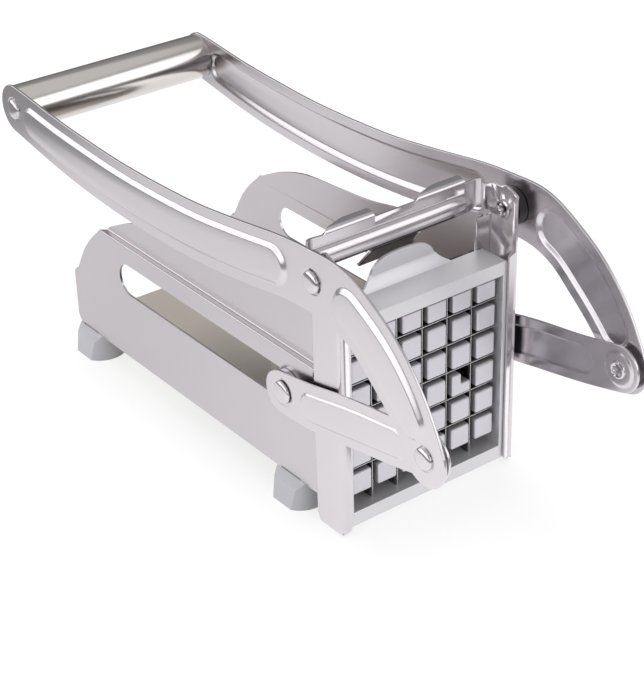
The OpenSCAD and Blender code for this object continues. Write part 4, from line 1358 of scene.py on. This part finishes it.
def soft_studio():
    """Light tent: bright in front, left and overhead, darker at the back right, white to the eye."""
    world = bpy.data.worlds.new("soft_studio")
    world.use_nodes = True
    tree = world.node_tree
    way = node(tree, "ShaderNodeTexCoord").outputs["Generated"]
    height = node(tree, "ShaderNodeSeparateXYZ", {0: way}).outputs["Z"]
    lowest = -0.2
    share = ranged(tree, height, lowest, 1.0)

    def ramp(stops):
        """Brightness by height, from stops of height and level."""
        made = node(tree, "ShaderNodeValToRGB", {0: share})
        made.color_ramp.interpolation = "EASE"
        elements = made.color_ramp.elements
        places = [(place - lowest) / (1.0 - lowest) for place, _ in stops]
        for place in places[1:-1]:
            elements.new(place)
        for element, place, (_, level) in zip(elements, places, stops):
            element.position = place
            element.color = (level, level, level, 1)
        return made.outputs[0]

    def toward(direction, start, stop):
        """Share of the tent in a direction, with a soft border."""
        return ranged(tree, measured(tree, "DOT_PRODUCT", way, direction), start, stop, blend="SMOOTHSTEP")

    front = ramp(((-0.2, 0.3), (-0.03, 0.2), (0.01, 0.2), (0.07, 1.75), (0.62, 1.75), (0.68, 0.4),
                  (0.73, 0.4), (0.78, 0.7), (1.0, 0.7)))
    back = ramp(((-0.2, 0.2), (0.0, 0.15), (0.5, 0.3), (0.72, 0.35), (0.8, 0.7), (1.0, 0.7)))
    tent = mixed(tree, toward((0.85, 0.53, 0.0), 0.1, 0.6), front, back)
    tent = mixed(tree, toward((-0.517, -0.695, 0.499), 0.88, 0.95), tent, (0.4, 0.4, 0.4, 1))
    eye = node(tree, "ShaderNodeLightPath").outputs["Is Camera Ray"]
    tent = mixed(tree, eye, tent, (1, 1, 1, 1))
    feed(tree, tree.nodes["Background"], {"Color": tent, "Strength": 1.0})
    return world


class CUTTER_OT_stage(bpy.types.Operator):
    """Makes the floor, the light and the camera"""
    bl_idname = "cutter.stage"
    bl_label = "Stage"

    def execute(self, context):
        scene = context.scene
        scene.view_settings.view_transform = "Standard"
        bm = bmesh.new()
        bmesh.ops.create_circle(bm, cap_ends=True, segments=128, radius=FLOOR_R)
        smooth_object("floor", bm, pale_floor(scene.cutter_finish.floor_colour))
        scene.world = soft_studio()

        data = bpy.data.lights.new("overhead_light", "AREA")
        data.shape = "RECTANGLE"
        data.size, data.size_y = LAMP_SIZE, LAMP_SIZE
        data.energy = LAMP_POWER
        lamp = linked("overhead_light", data)
        lamp.location = LAMP_PLACE
        lamp.rotation_euler = (Vector(LAMP_TARGET) - lamp.location).to_track_quat("-Z", "Y").to_euler()
        lamp.visible_glossy = False

        data = bpy.data.cameras.new("camera")
        data.sensor_width = SENSOR
        data.lens = SENSOR * CAMERA_FOCAL
        data.clip_start = 0.05
        camera = linked("camera", data)
        azimuth, elevation, roll = (math.radians(angle) for angle in CAMERA_ANGLES)
        camera.matrix_world = Matrix.Translation(CAMERA_PLACE)
        for angle, axis in ((azimuth, "Z"), (QUARTER - elevation, "X"), (-roll, "Z")):
            camera.matrix_world = camera.matrix_world @ Matrix.Rotation(angle, 4, axis)
        scene.camera = camera
        return {"FINISHED"}


STEPS = (
    CUTTER_OT_stage, CUTTER_OT_finishes, CUTTER_OT_body_sheets, CUTTER_OT_yoke, CUTTER_OT_cartridge,
    CUTTER_OT_blades, CUTTER_OT_pusher_head, CUTTER_OT_levers, CUTTER_OT_links, CUTTER_OT_rivets,
    CUTTER_OT_handle, CUTTER_OT_feet,
)


class CUTTER_PT_panel(bpy.types.Panel):
    """Lists the sizes, finishes and making steps of the cutter"""
    bl_idname = "CUTTER_PT_panel"
    bl_label = "Potato Cutter"
    bl_space_type = "VIEW_3D"
    bl_region_type = "UI"
    bl_category = "Cutter"

    def draw(self, context):
        for group in (context.scene.cutter_sizes, context.scene.cutter_finish):
            box = self.layout.box()
            for name in group.bl_rna.properties.keys():
                if name not in ("rna_type", "name"):
                    box.prop(group, name)
        for step in STEPS:
            self.layout.operator(step.bl_idname)


CLASSES = (CutterSizes, CutterFinish, *STEPS, CUTTER_PT_panel)


def register():
    for cls in CLASSES:
        bpy.utils.register_class(cls)
    bpy.types.Scene.cutter_sizes = PointerProperty(type=CutterSizes)
    bpy.types.Scene.cutter_finish = PointerProperty(type=CutterFinish)


def unregister():
    del bpy.types.Scene.cutter_finish
    del bpy.types.Scene.cutter_sizes
    for cls in reversed(CLASSES):
        bpy.utils.unregister_class(cls)


def main():
    register()
    for step in STEPS:
        family, name = step.bl_idname.split(".")
        getattr(getattr(bpy.ops, family), name)()


if __name__ == "__main__":
    main()
